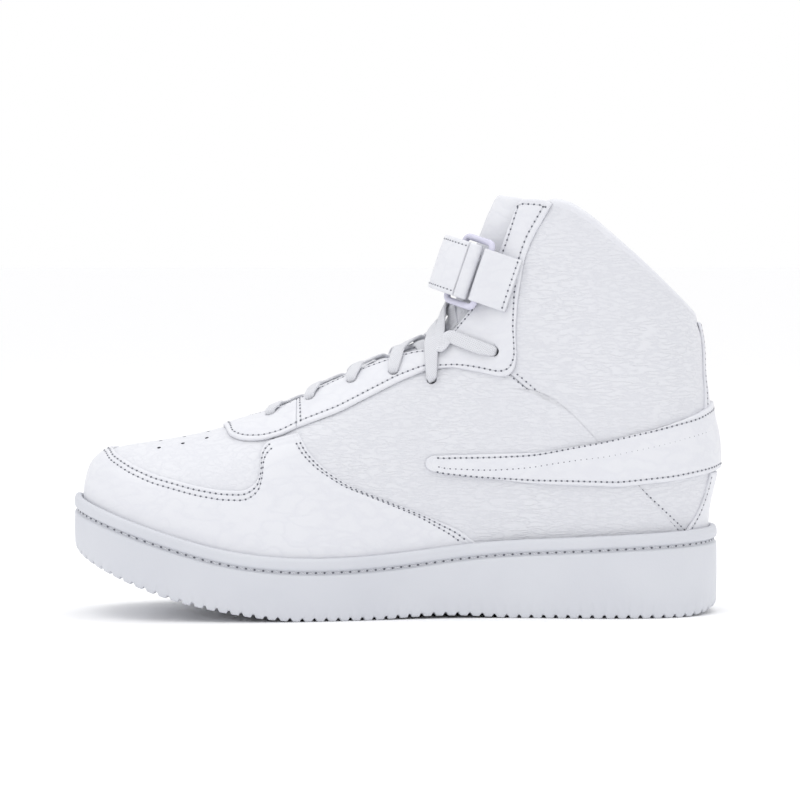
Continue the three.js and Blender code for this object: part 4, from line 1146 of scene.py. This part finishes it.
def around_heel(pairs, height):
    """Spots along an outline on the medial side, round the heel at this height, and back on the lateral
    side."""
    near = seen(pairs)
    middle = at_height(np.linspace(near[-1, 0] + 1.5, 180, 12), np.full(12, height))
    half = np.concatenate([near, middle])
    return np.concatenate([half, np.column_stack([360 - half[-2::-1, 0], half[-2::-1, 1]])])


tip = seen([(17, 67), (13.8, 68.2), (12.6, 70.8), (13.8, 73.5), (17, 74.6)])
wrap = Panel(
    drawn(around_heel(WRAP_FOOT, 67.2)), drawn(around_heel(WRAP_TOP, 99.6)),
    drawn(tip, sigma=0.8), drawn(np.column_stack([360 - tip[:, 0], tip[:, 1]]), sigma=0.8), step=1.3,
)


def wrap_out(spots):
    """Outer face of the heel wrap, which stands further out round the heel, over the backstay and foxing."""
    angle = np.minimum(spots[..., 0], 360 - spots[..., 0])
    return 1.95 + 1.35 * ease(angle, 148, 163)


WRAP_ROWS = [("low", 2.3), ("high", 2.3)]
wrap_dips = WRAP_ROWS + [("left", 2.6), ("right", 2.6)]
overlay("heel_wrap_leather", wrap, "heel_wrap", 0.5, wrap_out(wrap.spots), dips=wrap_dips, swell=0.15)


def sew_wrap(spots):
    """A row of stitches on the heel wrap."""
    sew(place(spots, wrap_out(spots)), normal_at(spots))


for which, row in WRAP_ROWS:
    sew_wrap(wrap.line(which, row, 0.012, 0.988))
for low, high in ((0.02, 0.46), (0.54, 0.98)):
    u = np.linspace(low, high, 220)
    sew_wrap(wrap.spot(u, np.full(220, 0.5)))
print("Overlays are in place.")

# %% [markdown]
# ## Collar, lining and tongue
#
# The collar is a tube of foam under the lining: the lining is turned over the top edge and sewn down outside.
# The binding is that turned edge, drawn as a rounded profile carried along the collar line. The tongue is a
# padded flap: a leather face, foam, and a cloth back, crowned across its width and rolled at its top.

# %% Collar binding
collar_side = drawn(seen([(66, 191.9)] + COLLAR[4:] + [(148.5, COLLAR_BACK + 0.3)]))(np.linspace(0, 1, 150))
side_height = place(collar_side, np.zeros(150))[:, 2]
rear = np.linspace(collar_side[-1, 0], 180, 14)[1:]
binding_angle = np.concatenate([collar_side[:, 0], rear])
binding_height = np.concatenate([side_height, np.full(13, side_height[-1])])
binding_angle = np.concatenate([binding_angle, 360 - binding_angle[-2::-1]])
binding_height = soften(np.concatenate([binding_height, binding_height[-2::-1]])[:, None], 3)[:, 0]
BINDING = np.array([  # distance out from the skin, height above the collar line
    (-0.9, -3.0), (-0.15, -1.6), (0.1, -0.4), (0.1, 0.8), (-0.35, 1.9), (-1.2, 2.6), (-2.4, 2.95),
    (-3.9, 3.0), (-5.4, 2.85), (-6.8, 2.2), (-7.8, 0.9), (-8.2, -1.2), (-8.2, -4.0), (-7.9, -7.5),
    (-7.0, -7.8), (-6.9, -2.0), (-3.0, -1.0),
])
from_end = np.minimum(np.arange(len(binding_angle)), np.arange(len(binding_angle))[::-1])
taper = (1 - (1 - np.minimum(1, from_end / 14.0)) ** 2)[:, None]
above_line = BINDING[:, 1] * np.where(BINDING[:, 1] > 0, taper, 1)
binding_z = binding_height[:, None] + above_line - 1.2 * (1 - taper)
spots = at_height(np.broadcast_to(binding_angle[:, None], binding_z.shape), binding_z)
tube = place(spots, np.broadcast_to(BINDING[:, 0], spots.shape[:2]))
ends = np.broadcast_to(tube[[0, -1]].mean(1, keepdims=True), tube[[0, -1]].shape)
tube = np.concatenate([ends[:1], tube, ends[1:]])
binding = make_piece(
    "collar_binding_leather", tube.reshape(-1, 3), grid_faces(*tube.shape[:2], ring=True), smooth_leather,
    stands_for=["collar_binding"],
)

# %% Quarter lining
lining_angle = np.linspace(99, 261, 150)
top_height = np.interp(lining_angle, binding_angle, binding_height) - 5.5
a = np.minimum(lining_angle, 360 - lining_angle)
x_here = place(at_height(lining_angle, np.full(150, 150.0)), np.zeros(150))[:, 0]
front_height = np.interp(x_here, [25, 40, 68], [118, 150, 186.0])
top_height = np.where(a < binding_angle[0] + 1.5, front_height, top_height)
share = np.linspace(0, 1, 70)[:, None]
lining_height = feather(a) + 3 + (soften(top_height[:, None], 2)[:, 0] - feather(a) - 3) * share
pad = ease(lining_height, 82, 104) * ease(a, 104, 116)
grids = []
for depth in (-3.0, -3.9):
    spots = at_height(np.broadcast_to(lining_angle, lining_height.shape), lining_height)
    channel = 0.5 * np.exp(-(((lining_height - 99) / 1.6) ** 2)) * pad
    grids.append(place(spots, depth - 4.1 * pad + channel).reshape(-1, 3))
make_piece(
    "quarter_lining_knit", np.concatenate(grids), shell_faces(*lining_height.shape), lining_cloth,
    stands_for=["quarter_lining"],
)

# %% Tongue
TONGUE_EDGE = [
    (-76, 72), (-45, 84), (-20, 97), (0, 107), (20, 120), (34, 138), (44, 158), (52, 178), (60, 191),
]
tongue_left, tongue_right = seen(TONGUE_EDGE), seen(TONGUE_EDGE, LATERAL)
crest_angle = np.interp(190.5, ridge(TABLE[900:1120]), TABLE[900:1120])
bend_in = np.linspace(0, 1, 12)
top_angle = tongue_left[-1, 0] + (crest_angle - tongue_left[-1, 0]) * ease(bend_in, 0, 1)
top_half = at_height(top_angle, 191 + 3.8 * np.sin(bend_in * np.pi * 0.62))
top_half[:, 1] = np.maximum.accumulate(np.clip(top_half[:, 1], 0, 1))
top_half[-1, 1] = 1.0
front_climb = np.linspace(tongue_left[0, 1], 2 - tongue_left[0, 1], 30)
tongue = Panel(
    drawn(np.column_stack([np.full(30, tongue_left[0, 0]), front_climb])),
    drawn(top_half, mirrored(top_half)[1:]), drawn(tongue_left), drawn(tongue_right), step=1.5,
)
crest = 2.0 * np.exp(-(((tongue.spots[..., 1] - 1) / 0.45) ** 2))


def tongue_layer(name, top, foot, finish, node, crown=0.0):
    """One layer of the tongue between two distances. Towards its rim the two faces close on each other along
    a quarter circle, so that the rim is round."""
    room = np.minimum.reduce([tongue.edge(which) for which in ALL_EDGES])
    round_off = np.sqrt(1 - (1 - np.clip(room / 3.2, 0, 1)) ** 2)
    middle, half = (top + foot) / 2, (top - foot) / 2
    outer = middle + crest + half * (0.12 + 0.88 * round_off) + crown * ease(room, 1, 12)
    inner = middle + crest - half * (0.12 + 0.88 * round_off)
    both = np.concatenate([place(tongue.spots, d).reshape(-1, 3) for d in (outer, inner)])
    return make_piece(name, both, shell_faces(*outer.shape), finish, stands_for=[node])


tongue_face = tongue_layer(
    "tongue_face_leather", -4.6, -7.6, smooth_leather, "tongue_face", 0.5,
)
tongue_layer("tongue_padding", -6.2, -10.4, pad_foam, "tongue_foam")
tongue_layer("tongue_lining_knit", -8.6, -12.0, lining_cloth, "tongue_lining")
print("Tongue grid:", tongue.rise.shape)


# %% [markdown]
# ## Lace
#
# One flat lace starts as a bar under the front holes. Each end then crosses the throat, dives under the
# opposite eyestay and comes up through the next hole. Its route is a list of stations: where the middle of
# the lace lies, how far it stands off the leather, and how wide and thick it is there. In a hole it is
# bunched.

# %% Lace route
HOLE_X = [-58, -39.5, -20.5, -1.5, 16]
HOLE_ROW = 7  # from the edge of the throat to the holes
TOP_HOLE = (45, 122.3)
LACE_UNDER, LACE_OVER, TOP_SLACK = -2.725, 3.3, 0.6
FLAT, BUNCHED, LEAVING = (6.2, 1.5), (3.6, 2.4), (4.8, 1.7)


def hole_spot(side, k):
    """Spot of a lace hole: a row 7 mm outside the throat, and one more hole higher up at the ankle."""
    if k == len(HOLE_X):
        return seen([TOP_HOLE, TOP_HOLE], side)[0]
    x = HOLE_X[k]
    return from_above([x], [centre_at(x) + side * (throat_half(x) + HOLE_ROW)])[0]


crossings = [(x + 0.12 * (after - x), x + 0.88 * (after - x)) for x, after in zip(HOLE_X, HOLE_X[1:])]
crossings += [(17, 20), (21.5, 25.5)]


def crossing(side, k, over):
    """Stations from above one edge of the throat, over or under the other end of the lace, to below the far
    edge."""
    xa, xb = crossings[k]
    wa, wb = throat_half(xa), throat_half(xb)
    lifts = (1.7, 1.5, 1.3) if over else (-0.6, -0.75, -0.9)
    top = LACE_OVER + (0 if k < 4 else TOP_SLACK)
    dive = FLAT if k < 5 else LEAVING
    rows = [
        (0, wa + 1.6, top, FLAT), (0.06, wa - 1.4, top - (0.2 if k < 4 else 0), FLAT),
        (0.27, 5, lifts[0], FLAT),
        (0.5, 0, lifts[1], FLAT), (0.73, -5, lifts[2], FLAT), (0.94, 1.3 - wb, LACE_UNDER, dive),
        (1, -wb - 2, LACE_UNDER, dive),
    ]
    t, y, out, sizes = zip(*rows)
    x = xa + (xb - xa) * np.array(t)
    return list(zip(from_above(x, centre_at(x) + side * np.array(y)), out, sizes))


def stations(pairs, side, out, size):
    """Stations of the lace at points of the side view."""
    return [(seen([pair, pair], side)[0], out, size) for pair in pairs]


def strand(start):
    """Stations of one end of the lace, from its first hole up to where it is tucked in."""
    route = []
    for k in range(6):
        side = -start if k % 2 else start
        hole = hole_spot(side, k)
        if k == 5:
            route += stations([(28, 128), (36, 124.5)], side, LACE_UNDER - 0.3, LEAVING)
        route += [(hole, LACE_UNDER, BUNCHED), (hole, 0.2, BUNCHED), (hole, LACE_OVER + 0.2, LEAVING)]
        if k == 5:
            route += stations([(38, 124), (31, 126.5), (26, 128.5)], side, LACE_OVER + TOP_SLACK, FLAT)
        route += crossing(side, k, (k % 2 == 0) == (start < 0))
    return route + stations([(31, 146)], start, LACE_UNDER, FLAT)


bar_half = throat_half(HOLE_X[0]) + 1
bar_y = centre_at(HOLE_X[0]) + np.array([-bar_half, 0, bar_half])
bar_spots = from_above(np.full(3, float(HOLE_X[0])), bar_y)
bar = list(zip(bar_spots, (LACE_UNDER, -1.2, LACE_UNDER), (FLAT,) * 3))
route = strand(MEDIAL)[::-1] + bar + strand(LATERAL)
spots = np.array([spot for spot, _, _ in route])
middles = place(spots, np.array([out for _, out, _ in route], float))
sizes = np.array([size for _, _, size in route], float)
normals = normal_at(spots)


# %% Sweeping a flat strip
def sweep_strip(middles, wide, through, sizes, round_off=0.55):
    """A closed strip carried along middle points. Its section is a flattened superellipse: cosine and sine,
    each raised to a power under one, times the half width and half thickness. Both ends shrink to a point."""
    t = np.linspace(0, 2 * np.pi, 25)[:-1]
    u = np.sign(np.cos(t)) * np.abs(np.cos(t)) ** 0.5
    v = np.sign(np.sin(t)) * np.abs(np.sin(t)) ** round_off
    half = sizes / 2
    sideways = wide[:, None] * (half[:, :1] * u)[..., None]
    rings = middles[:, None] + sideways + through[:, None] * (half[:, 1:] * v)[..., None]
    ends = np.repeat(middles[[0, -1]][:, None], len(t), 1)
    grid = np.concatenate([ends[:1], rings, ends[1:]])
    faces = grid_faces(len(grid), len(t), ring=True)
    lengths = walk(middles)
    along = np.concatenate([lengths[:1], lengths, lengths[-1:]])
    section = np.column_stack([np.append(u, u[0]), np.append(v, v[0])]) * half.mean(0)
    girth = walk(section)
    i, j = np.meshgrid(np.arange(len(grid) - 1), np.arange(len(t)), indexing="ij")
    corners = [(i, j), (i, j + 1), (i + 1, j + 1), (i + 1, j)]
    uv = np.stack([np.stack([along[a], girth[b]], -1) for a, b in corners], 2).reshape(-1, 4, 2)
    return grid.reshape(-1, 3), faces, uv


# %% Lace
tangents = unit(np.gradient(middles, axis=0))
angle = np.minimum(spots[:, 0], 100)
forward = HALF_LENGTH * (np.cos(np.radians(angle)) - np.cos(np.radians(angle + 2)))
up_row = np.column_stack([forward, 0 * angle, ridge(angle + 2) - ridge(angle)])
flat_way = np.cross(normals, tangents)
lying = np.linalg.norm(flat_way, axis=1) > 0.75
same_way = np.sign(np.einsum("ij,ij->i", flat_way, up_row))
wide = np.where(lying[:, None], flat_way * same_way[:, None], up_row)
wide = unit(wide - tangents * np.einsum("ij,ij->i", wide, tangents)[:, None])
lengths = walk(middles)
fine = np.linspace(0, lengths[-1], int(lengths[-1] / 0.6))
lace_line = soften(resample(middles, lengths, fine), 2.2)
lace_tangent = unit(np.gradient(lace_line, axis=0))
lace_wide = soften(resample(wide, lengths, fine), 2.5)
lace_wide = unit(lace_wide - lace_tangent * np.einsum("ij,ij->i", lace_wide, lace_tangent)[:, None])
lace_sizes = soften(resample(sizes, lengths, fine), 2.0)
points, faces, uv = sweep_strip(lace_line, lace_wide, np.cross(lace_tangent, lace_wide), lace_sizes)
make_piece("lace_flat_woven", points, faces, lace_cloth, stands_for=["lace"], uv=uv)
print("Length of lace in the shoe, mm:", round(walk(lace_line)[-1]))

# %% [markdown]
# Holes come after the panels are closed. A Boolean takes a row of short cylinders away from each layer that
# the lace or the air passes through, which leaves a real wall inside every hole.


# %% Punching
def punches(name, spots, diameter, depth=9.0, around=20):
    """Short closed cylinders standing on the skin: circles of sine and cosine, one below and one above a
    spot."""
    t = np.linspace(0, 2 * np.pi, around, endpoint=False)
    centre, up = place(spots, np.zeros(len(spots))), normal_at(spots)
    first = unit(np.cross(up, np.array([0.3, 0.9, 0.1])))
    second = np.cross(up, first)
    circle = (np.cos(t)[:, None] * first[:, None] + np.sin(t)[:, None] * second[:, None]) * diameter / 2
    levels = [circle + (centre + up * h)[:, None] for h in (-depth / 2, depth / 2)]
    points = np.stack(levels, 1).reshape(-1, 3) * MM
    step = np.arange(around)
    side = np.column_stack([step, (step + 1) % around, (step + 1) % around + around, step + around])
    faces = []
    for first_point in np.arange(len(spots)) * 2 * around:
        faces += (side + first_point).tolist()
        faces += [(step[::-1] + first_point).tolist(), (step + around + first_point).tolist()]
    data = bpy.data.meshes.new(name)
    data.from_pydata(points.tolist(), [], faces)
    data.materials.append(needle_shadow)
    made = bpy.data.objects.new(name, data)
    bpy.context.scene.collection.objects.link(made)
    return made


def punch(piece, cutter):
    """Takes a cutter away from a piece with a Boolean, and keeps the result in the piece's own mesh."""
    cut = piece.modifiers.new("punch", "BOOLEAN")
    cut.operation, cut.object, cut.solver = "DIFFERENCE", cutter, "MANIFOLD"
    bpy.context.view_layer.update()
    evaluated = piece.evaluated_get(bpy.context.evaluated_depsgraph_get())
    made = bpy.data.meshes.new_from_object(evaluated)
    piece.modifiers.clear()
    piece.data = made
    made.update()


lace_holes = np.array([hole_spot(side, k) for side in (MEDIAL, LATERAL) for k in range(6)])
hole_cutter = punches("hole_cutter", lace_holes, 4.6)
for piece in (eyestay_bow, *eyestays, *bases):
    punch(piece, hole_cutter)
VENT_X, VENT_Y = (-110.0, -99.0, -88.0), np.array([-16.5, -5.5, 5.5, 16.5])
vent_spots = np.concatenate([from_above(np.full(4, x), centre_at(x) + VENT_Y) for x in VENT_X])
vent_cutter = punches("vent_cutter", vent_spots, 1.8, around=12)
punch(toe_box, vent_cutter)
for cutter in (hole_cutter, vent_cutter):
    bpy.data.objects.remove(cutter)
print("Lace holes:", len(lace_holes), " vents:", len(vent_spots))

# %% [markdown]
# ## Ankle strap, ring and keeper
#
# The strap is sewn on at the lateral side, comes round the front, passes through a plastic ring and folds
# back over itself, where hook tape grips loop tape. Everything on it is placed by its distance round the
# ankle from the front and its distance out. The free end is its own piece, which starts at the fold.

# %% Round the ankle
LEAN = math.radians(18.6)
ACROSS = np.array([math.sin(LEAN), 0, math.cos(LEAN)])  # along the width of the strap
FRONT = np.array([29.5, 0, 160.5])


def ankle_side(side):
    """Points of the skin where the leaning plane of the strap cuts it, from the back to the front."""
    a = np.arange(130, 97, -1.5)
    s = np.full(len(a), float(side))
    x = skin_point(s, a, np.full(len(a), 0.9))[:, 0]
    z = FRONT[2] - (x - FRONT[0]) * math.tan(LEAN)
    share = (z - feather(a)) / (ridge(a) - feather(a))
    keep = share < 0.985
    return skin_point(s[keep], a[keep], share[keep])


ankle_points = np.concatenate([ankle_side(MEDIAL), FRONT[None], ankle_side(LATERAL)[::-1]])
knots = walk(ankle_points)
ankle_fine = np.linspace(0, knots[-1], 1200)
ankle_line = np.column_stack([
    curve_through(np.column_stack([knots, values]))(ankle_fine) for values in ankle_points.T
])
ankle_walk = walk(ankle_line)
front_at = np.interp(knots[len(ankle_side(MEDIAL))], ankle_fine, ankle_walk)
ankle_tangent = unit(soften(np.gradient(ankle_line, axis=0), 8))


def strap_point(along, out):
    """Points at distances round the ankle and out from it, with the outward direction there."""
    where = front_at + np.asarray(along, float)
    at, tangent = resample(ankle_line, ankle_walk, where), unit(resample(ankle_tangent, ankle_walk, where))
    away = unit(np.cross(ACROSS, tangent))
    return at + away * np.asarray(out, float)[..., None], away, tangent


STRAP_WIDTH, STRAP_THICK, TAPE_THICK = 26, 2.2, 1.2
# The strap's section in shares of its half width and half thickness: skived edge, stitch dip, padded middle.
section_half = [
    (-1, 0), (-0.995, 0.45), (-0.975, 0.75), (-0.93, 0.92), (-0.88, 0.94), (-0.84, 0.78), (-0.80, 0.92),
    (-0.7, 1.02), (-0.4, 1.12),
]
section_back = [(0.985, -0.6), (0.94, -0.92), (0.5, -1), (-0.5, -1), (-0.94, -0.92), (-0.985, -0.6)]
strap_section = np.array(section_half + [(0, 1.16)] + [(-u, v) for u, v in section_half[::-1]] + section_back)


def strip(path, width, thick, section, rounded=1.2, corner=0.0):
    """A strip along (distance round, distance out) corners. The path is rounded, the section is carried along
    it, and the last stretch may narrow to a rounded end, as the square root of one minus a square."""
    flat = np.array(path, float)
    lengths = walk(flat)
    fine = np.linspace(0, lengths[-1], int(lengths[-1] / 0.5) + 1)
    flat = soften(resample(flat, lengths, fine), rounded / 0.5)
    middle, away, _ = strap_point(flat[:, 0], flat[:, 1])
    tangent = unit(np.gradient(middle, axis=0))
    through = unit(np.cross(ACROSS, tangent))
    share = np.ones(len(middle))
    if corner:
        left = lengths[-1] - fine
        rounding = 1 - np.sqrt(1 - (1 - np.clip(left / corner, 0, 1)) ** 2)
        share = 1 - 0.3 * rounding - 0.2 * np.clip(1 - left / 1.5, 0, 1) ** 2
    u, v = section.T
    rings = (
        middle[:, None] + ACROSS * (share[:, None] * width / 2 * u)[..., None]
        + through[:, None] * (thick / 2 * v)[None, :, None]
    )
    ends = np.repeat(middle[[0, -1]][:, None], len(section), 1)
    grid = np.concatenate([ends[:1], rings, ends[1:]])
    return grid, grid_faces(len(grid), len(section), ring=True), (middle, through, share)


def sew_strip(frame_of, across, body, thick, start=0, stop=None):
    """A row of stitches along a strip, this far from its middle."""
    middle, through, share = (part[start:stop] for part in frame_of)
    sew(middle + ACROSS * (across * share)[:, None] + through * thick / 2, through, body)


# %% Strap
SEAT, LOOP_SEAT, HOOK_SEAT, FREE_SEAT = 3.55, 5.6, 7.15, 9.2
FOLD, FREE_TOP = -17.6, 11.0
EDGE_ROW = 10.9  # rows of stitches this far from the middle of the strap
anchored_path = [
    (60, 2.9), (54, SEAT), (0, SEAT), (-6, 3.35), (-11, 3.4), (-16, 4.05), (-19.2, 6), (-20.6, 7.6),
    (-20.2, 9.7), (FOLD - 0.1, FREE_TOP),
]
grid, faces, frame_of = strip(anchored_path, STRAP_WIDTH, STRAP_THICK, strap_section * [1, -1], rounded=1.0)
make_piece(
    "strap_anchored_leather", grid.reshape(-1, 3), faces, smooth_leather,
    stands_for=["strap_anchored_run"],
)
for across in (-EDGE_ROW, EDGE_ROW):
    sew_strip(frame_of, across, "shoe", STRAP_THICK * -0.95, 0, -4)
free_path = [
    (FOLD + 0.1, FREE_TOP), (-13, FREE_TOP), (-7, FREE_TOP), (0, 10.7), (6, 10.1), (13, FREE_SEAT),
    (46, FREE_SEAT), (52, FREE_SEAT),
]
grid, faces, frame_of = strip(free_path, STRAP_WIDTH, STRAP_THICK, strap_section, rounded=1.0, corner=6)
free = make_piece(
    "strap_free_leather", grid.reshape(-1, 3), faces, smooth_leather, body=None,
    stands_for=["strap_free_run"],
)
for across in (-EDGE_ROW, EDGE_ROW):
    sew_strip(frame_of, across, "strap", STRAP_THICK * 0.9, 2, -6)
free_thread = gather("strap_stitches", thread_parts.pop("strap"), white_thread, None)
# Dark needle-hole ellipsoids on the free end of the strap: painted shadow.
free_hole_shadows = gather("strap_needle_hole_shadows", hole_shadow_parts.pop("strap"), needle_shadow, None)
for piece in (free, free_thread, free_hole_shadows):
    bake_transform(piece)

tape_section = np.array([
    (-1, -1), (1, -1), (1.0, 0.4), (0.97, 0.9), (0.9, 1), (0, 1), (-0.9, 1), (-0.97, 0.9), (-1.0, 0.4),
])
for name, span, seat, finish, body, node_name in (
    ("loop_tape_brushed", (14, 56), LOOP_SEAT, loop_pile, "shoe", "loop_tape"),
    ("hook_tape_moulded", (18, 48), HOOK_SEAT, hook_field, "strap_free_end", "hook_tape"),
):
    lay = tape_section * ([1, 1] if node_name == "loop_tape" else [1, -1])
    grid, faces, _ = strip([(span[0], seat), (span[1], seat)], STRAP_WIDTH - 4, TAPE_THICK, lay)
    make_piece(name, grid.reshape(-1, 3), faces, finish, body, [node_name])

# %% Ring
RING_BAR, RING_LENGTH, RING_CORNER, RING_AT, RING_SEAT = 3, 20, 2.6, -17.5, 5.4
ring_frame = strap_point(np.array([RING_AT]), np.array([RING_SEAT]))
ring_middle, ring_out, ring_along = (part[0] for part in ring_frame)
half_long = (RING_LENGTH - RING_BAR) / 2
half_tall = (STRAP_WIDTH + 2 * (RING_BAR + 1) - RING_BAR) / 2
turns = np.radians(np.concatenate([np.linspace(q, q + 90, 10) for q in (0, 90, 180, 270)]))
signs = np.repeat([(1, 1), (-1, 1), (-1, -1), (1, -1)], 10, axis=0)
corner_at = signs * [half_long - RING_CORNER, half_tall - RING_CORNER]
flat = corner_at + RING_CORNER * np.column_stack([np.cos(turns), np.sin(turns)])
flat = np.concatenate([flat, flat[:1]])
flat = resample(flat, walk(flat), np.linspace(0, walk(flat)[-1], 181))[:-1]
centres = ring_middle + flat[:, :1] * ring_along + flat[:, 1:] * ACROSS
ring_tangent = unit(np.roll(centres, -1, 0) - np.roll(centres, 1, 0))
ring_side = unit(np.cross(ring_tangent, ring_out))
t = np.linspace(0, 2 * np.pi, 17)[:-1]
bar_u, bar_v = np.cos(t), np.sign(np.sin(t)) * np.abs(np.sin(t)) ** 0.8
rings = centres[:, None] + (ring_side[:, None] * bar_u[:, None] + ring_out * bar_v[:, None]) * RING_BAR / 2
rings = np.concatenate([rings, rings[:1]])
make_piece(
    "ring_moulded", rings.reshape(-1, 3), grid_faces(*rings.shape[:2], ring=True), ring_plastic, "ring",
    ["strap_ring"],
)

# %% Keeper
KEEPER_THICK = 1.1
rear_bar = ring_middle - ring_along * half_long
turn = RING_BAR / 2 + 0.7 + KEEPER_THICK / 2
bend_round = np.radians(np.linspace(-90, 90, 13))[:, None]
loop_part = rear_bar + turn * (ring_along * np.cos(bend_round) + ring_out * np.sin(bend_round))
under, _, _ = strap_point(np.array([-38.5, -36, -33.3]), np.full(3, 2.3))
over, _, _ = strap_point(np.array([-34.0, -36, -38.5]), np.array([4.0, 3.6, 3.6]))
keeper_line = np.concatenate([under, loop_part, over])
lengths = walk(keeper_line)
keeper_fine = np.linspace(0, lengths[-1], int(lengths[-1] / 0.5))
keeper_line = soften(resample(keeper_line, lengths, keeper_fine), 2.0)
keeper_tangent = unit(np.gradient(keeper_line, axis=0))
keeper_through = unit(np.cross(ACROSS, keeper_tangent))
u, v = (strap_section * [1, -1]).T
rings = keeper_line[:, None] + ACROSS * (u * (STRAP_WIDTH - 1) / 2)[:, None]
rings = rings + keeper_through[:, None] * (v * KEEPER_THICK / 2)[:, None]
ends = np.repeat(keeper_line[[0, -1]][:, None], len(u), 1)
rings = np.concatenate([ends[:1], rings, ends[1:]])
make_piece(
    "ring_keeper_leather", rings.reshape(-1, 3), grid_faces(*rings.shape[:2], ring=True), smooth_leather,
    stands_for=["ring_keeper"],
)
for row in (-34.4, -36.9):
    across = np.linspace(-11, 11, 40)
    spot, away, _ = strap_point(np.full(40, row), np.full(40, 4.3))
    sew(spot + ACROSS * across[:, None], away)
print("Strap, ring and keeper are in place.")

# %% [markdown]
# ## Sockliner
#
# The inlay sock is a soft insole with a cloth top. It follows the feather edge and curls up at its rim.

# %% Sockliner
SOCK_EDGE = -10.95  # from the outline of the sole in to the rim of the sockliner
SOCK_FLOOR = 2.35  # underside of the sockliner above the feather edge
SOCK_PROFILE = [  # share of the way to the middle line, and height over the underside
    (0.0, 0.0), (0.0, 3.4), (0.012, 4.2), (0.05, 4.5), (0.15, 4.1), (0.35, 3.8), (0.65, 3.6), (1.0, 3.6),
]
a = np.concatenate([np.linspace(0, 180, 181), np.linspace(180, 360, 181)[1:-1]])
s = np.where(a > 180, 1.0, -1.0)
half_a = np.minimum(a, 360 - a)
sock_rows = []
for share, lift in SOCK_PROFILE:
    flat = plan_point(s, half_a) + plan_normal(s, half_a) * SOCK_EDGE
    spine = np.column_stack([-0.9 * HALF_LENGTH * np.cos(np.radians(half_a)), swing(half_a)])
    row = flat + (spine - flat) * share
    sock_rows.append(np.column_stack([row, feather(half_a) + SOCK_FLOOR + lift]))
floor_row = sock_rows[-1].copy()
floor_row[:, 2] = feather(half_a) + SOCK_FLOOR
grid = np.stack([floor_row, *sock_rows])
make_piece(
    "sockliner_cloth", grid.reshape(-1, 3), grid_faces(*grid.shape[:2], ring=True), sock_cloth, "inlay",
    ["sockliner"],
)

# %% [markdown]
# ## Stage, light and camera
#
# White on white needs a light with a direction, or every fold is lost. The white room lights the shoe evenly.
# One soft lamp above the toe gives the form, and a wider one overhead brightens what faces up.

# %% Stage
floor_mesh = bpy.data.meshes.new("floor")
FAR = 40  # metres, so far that the edge of the floor is lost in the white
floor_mesh.from_pydata([(-FAR, -FAR, 0), (FAR, -FAR, 0), (FAR, FAR, 0), (-FAR, FAR, 0)], [], [(0, 1, 2, 3)])
floor = bpy.data.objects.new("floor", floor_mesh)
bpy.context.scene.collection.objects.link(floor)
floor_finish, _, floor_shader, _ = new_finish("pale_floor", 0.9)
floor_shader.inputs["Base Color"].default_value = linear("FEFEFF")
floor_mesh.materials.append(floor_finish)

world = bpy.data.worlds.new("pale_room")
world.use_nodes = True
world.node_tree.nodes["Background"].inputs["Color"].default_value = (1, 1, 1, 1)
world.node_tree.nodes["Background"].inputs["Strength"].default_value = 1.0
bpy.context.scene.world = world


def soft_lamp(name, at, towards, size, power):
    """A square area lamp that looks at a point."""
    data = bpy.data.lights.new(name, "AREA")
    data.size, data.energy = size, power
    lamp = bpy.data.objects.new(name, data)
    lamp.location = at
    direction = np.array(towards, float) - np.array(at, float)
    lamp.rotation_euler = Vector(direction).to_track_quat("-Z", "Y").to_euler()
    bpy.context.scene.collection.objects.link(lamp)


soft_lamp("key", (-0.5, -0.6, 1.5), (0, 0, 0.08), 0.8, 4)
soft_lamp("top", (0.3, 0.3, 1.6), (0, 0, 0.08), 1.2, 5)
bpy.context.scene.view_settings.view_transform = "Standard"

# %% Camera
DISTANCE, AIM = 1.5625, (0.0014, 0.0, 0.0989)
lens = bpy.data.cameras.new("camera")
lens.lens, lens.sensor_width = 150, 36
camera = bpy.data.objects.new("camera", lens)
lift = math.radians(2.5)
camera.location = (AIM[0], AIM[1] - DISTANCE * math.cos(lift), AIM[2] + DISTANCE * math.sin(lift))
camera.rotation_euler = (math.pi / 2 - lift, 0, 0)
bpy.context.scene.collection.objects.link(camera)
bpy.context.scene.camera = camera

# %% Hidden pieces
HIDDEN = {
    "foam_wedge": midsole_foam, "lasting_board": fibre_board, "toe_puff": fibre_board,
    "heel_counter": fibre_board,
    "collar_foam": pad_foam, "vamp_lining": lining_cloth,
}
for node_name, finish in HIDDEN.items():
    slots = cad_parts[node_name].data.materials
    slots.clear()
    slots.append(finish)

gather("upper_stitches", thread_parts["shoe"], white_thread, "shoe")
# Dark needle-hole ellipsoids of the upper: painted shadow.
gather("needle_hole_shadows", hole_shadow_parts["shoe"], needle_shadow, "shoe")
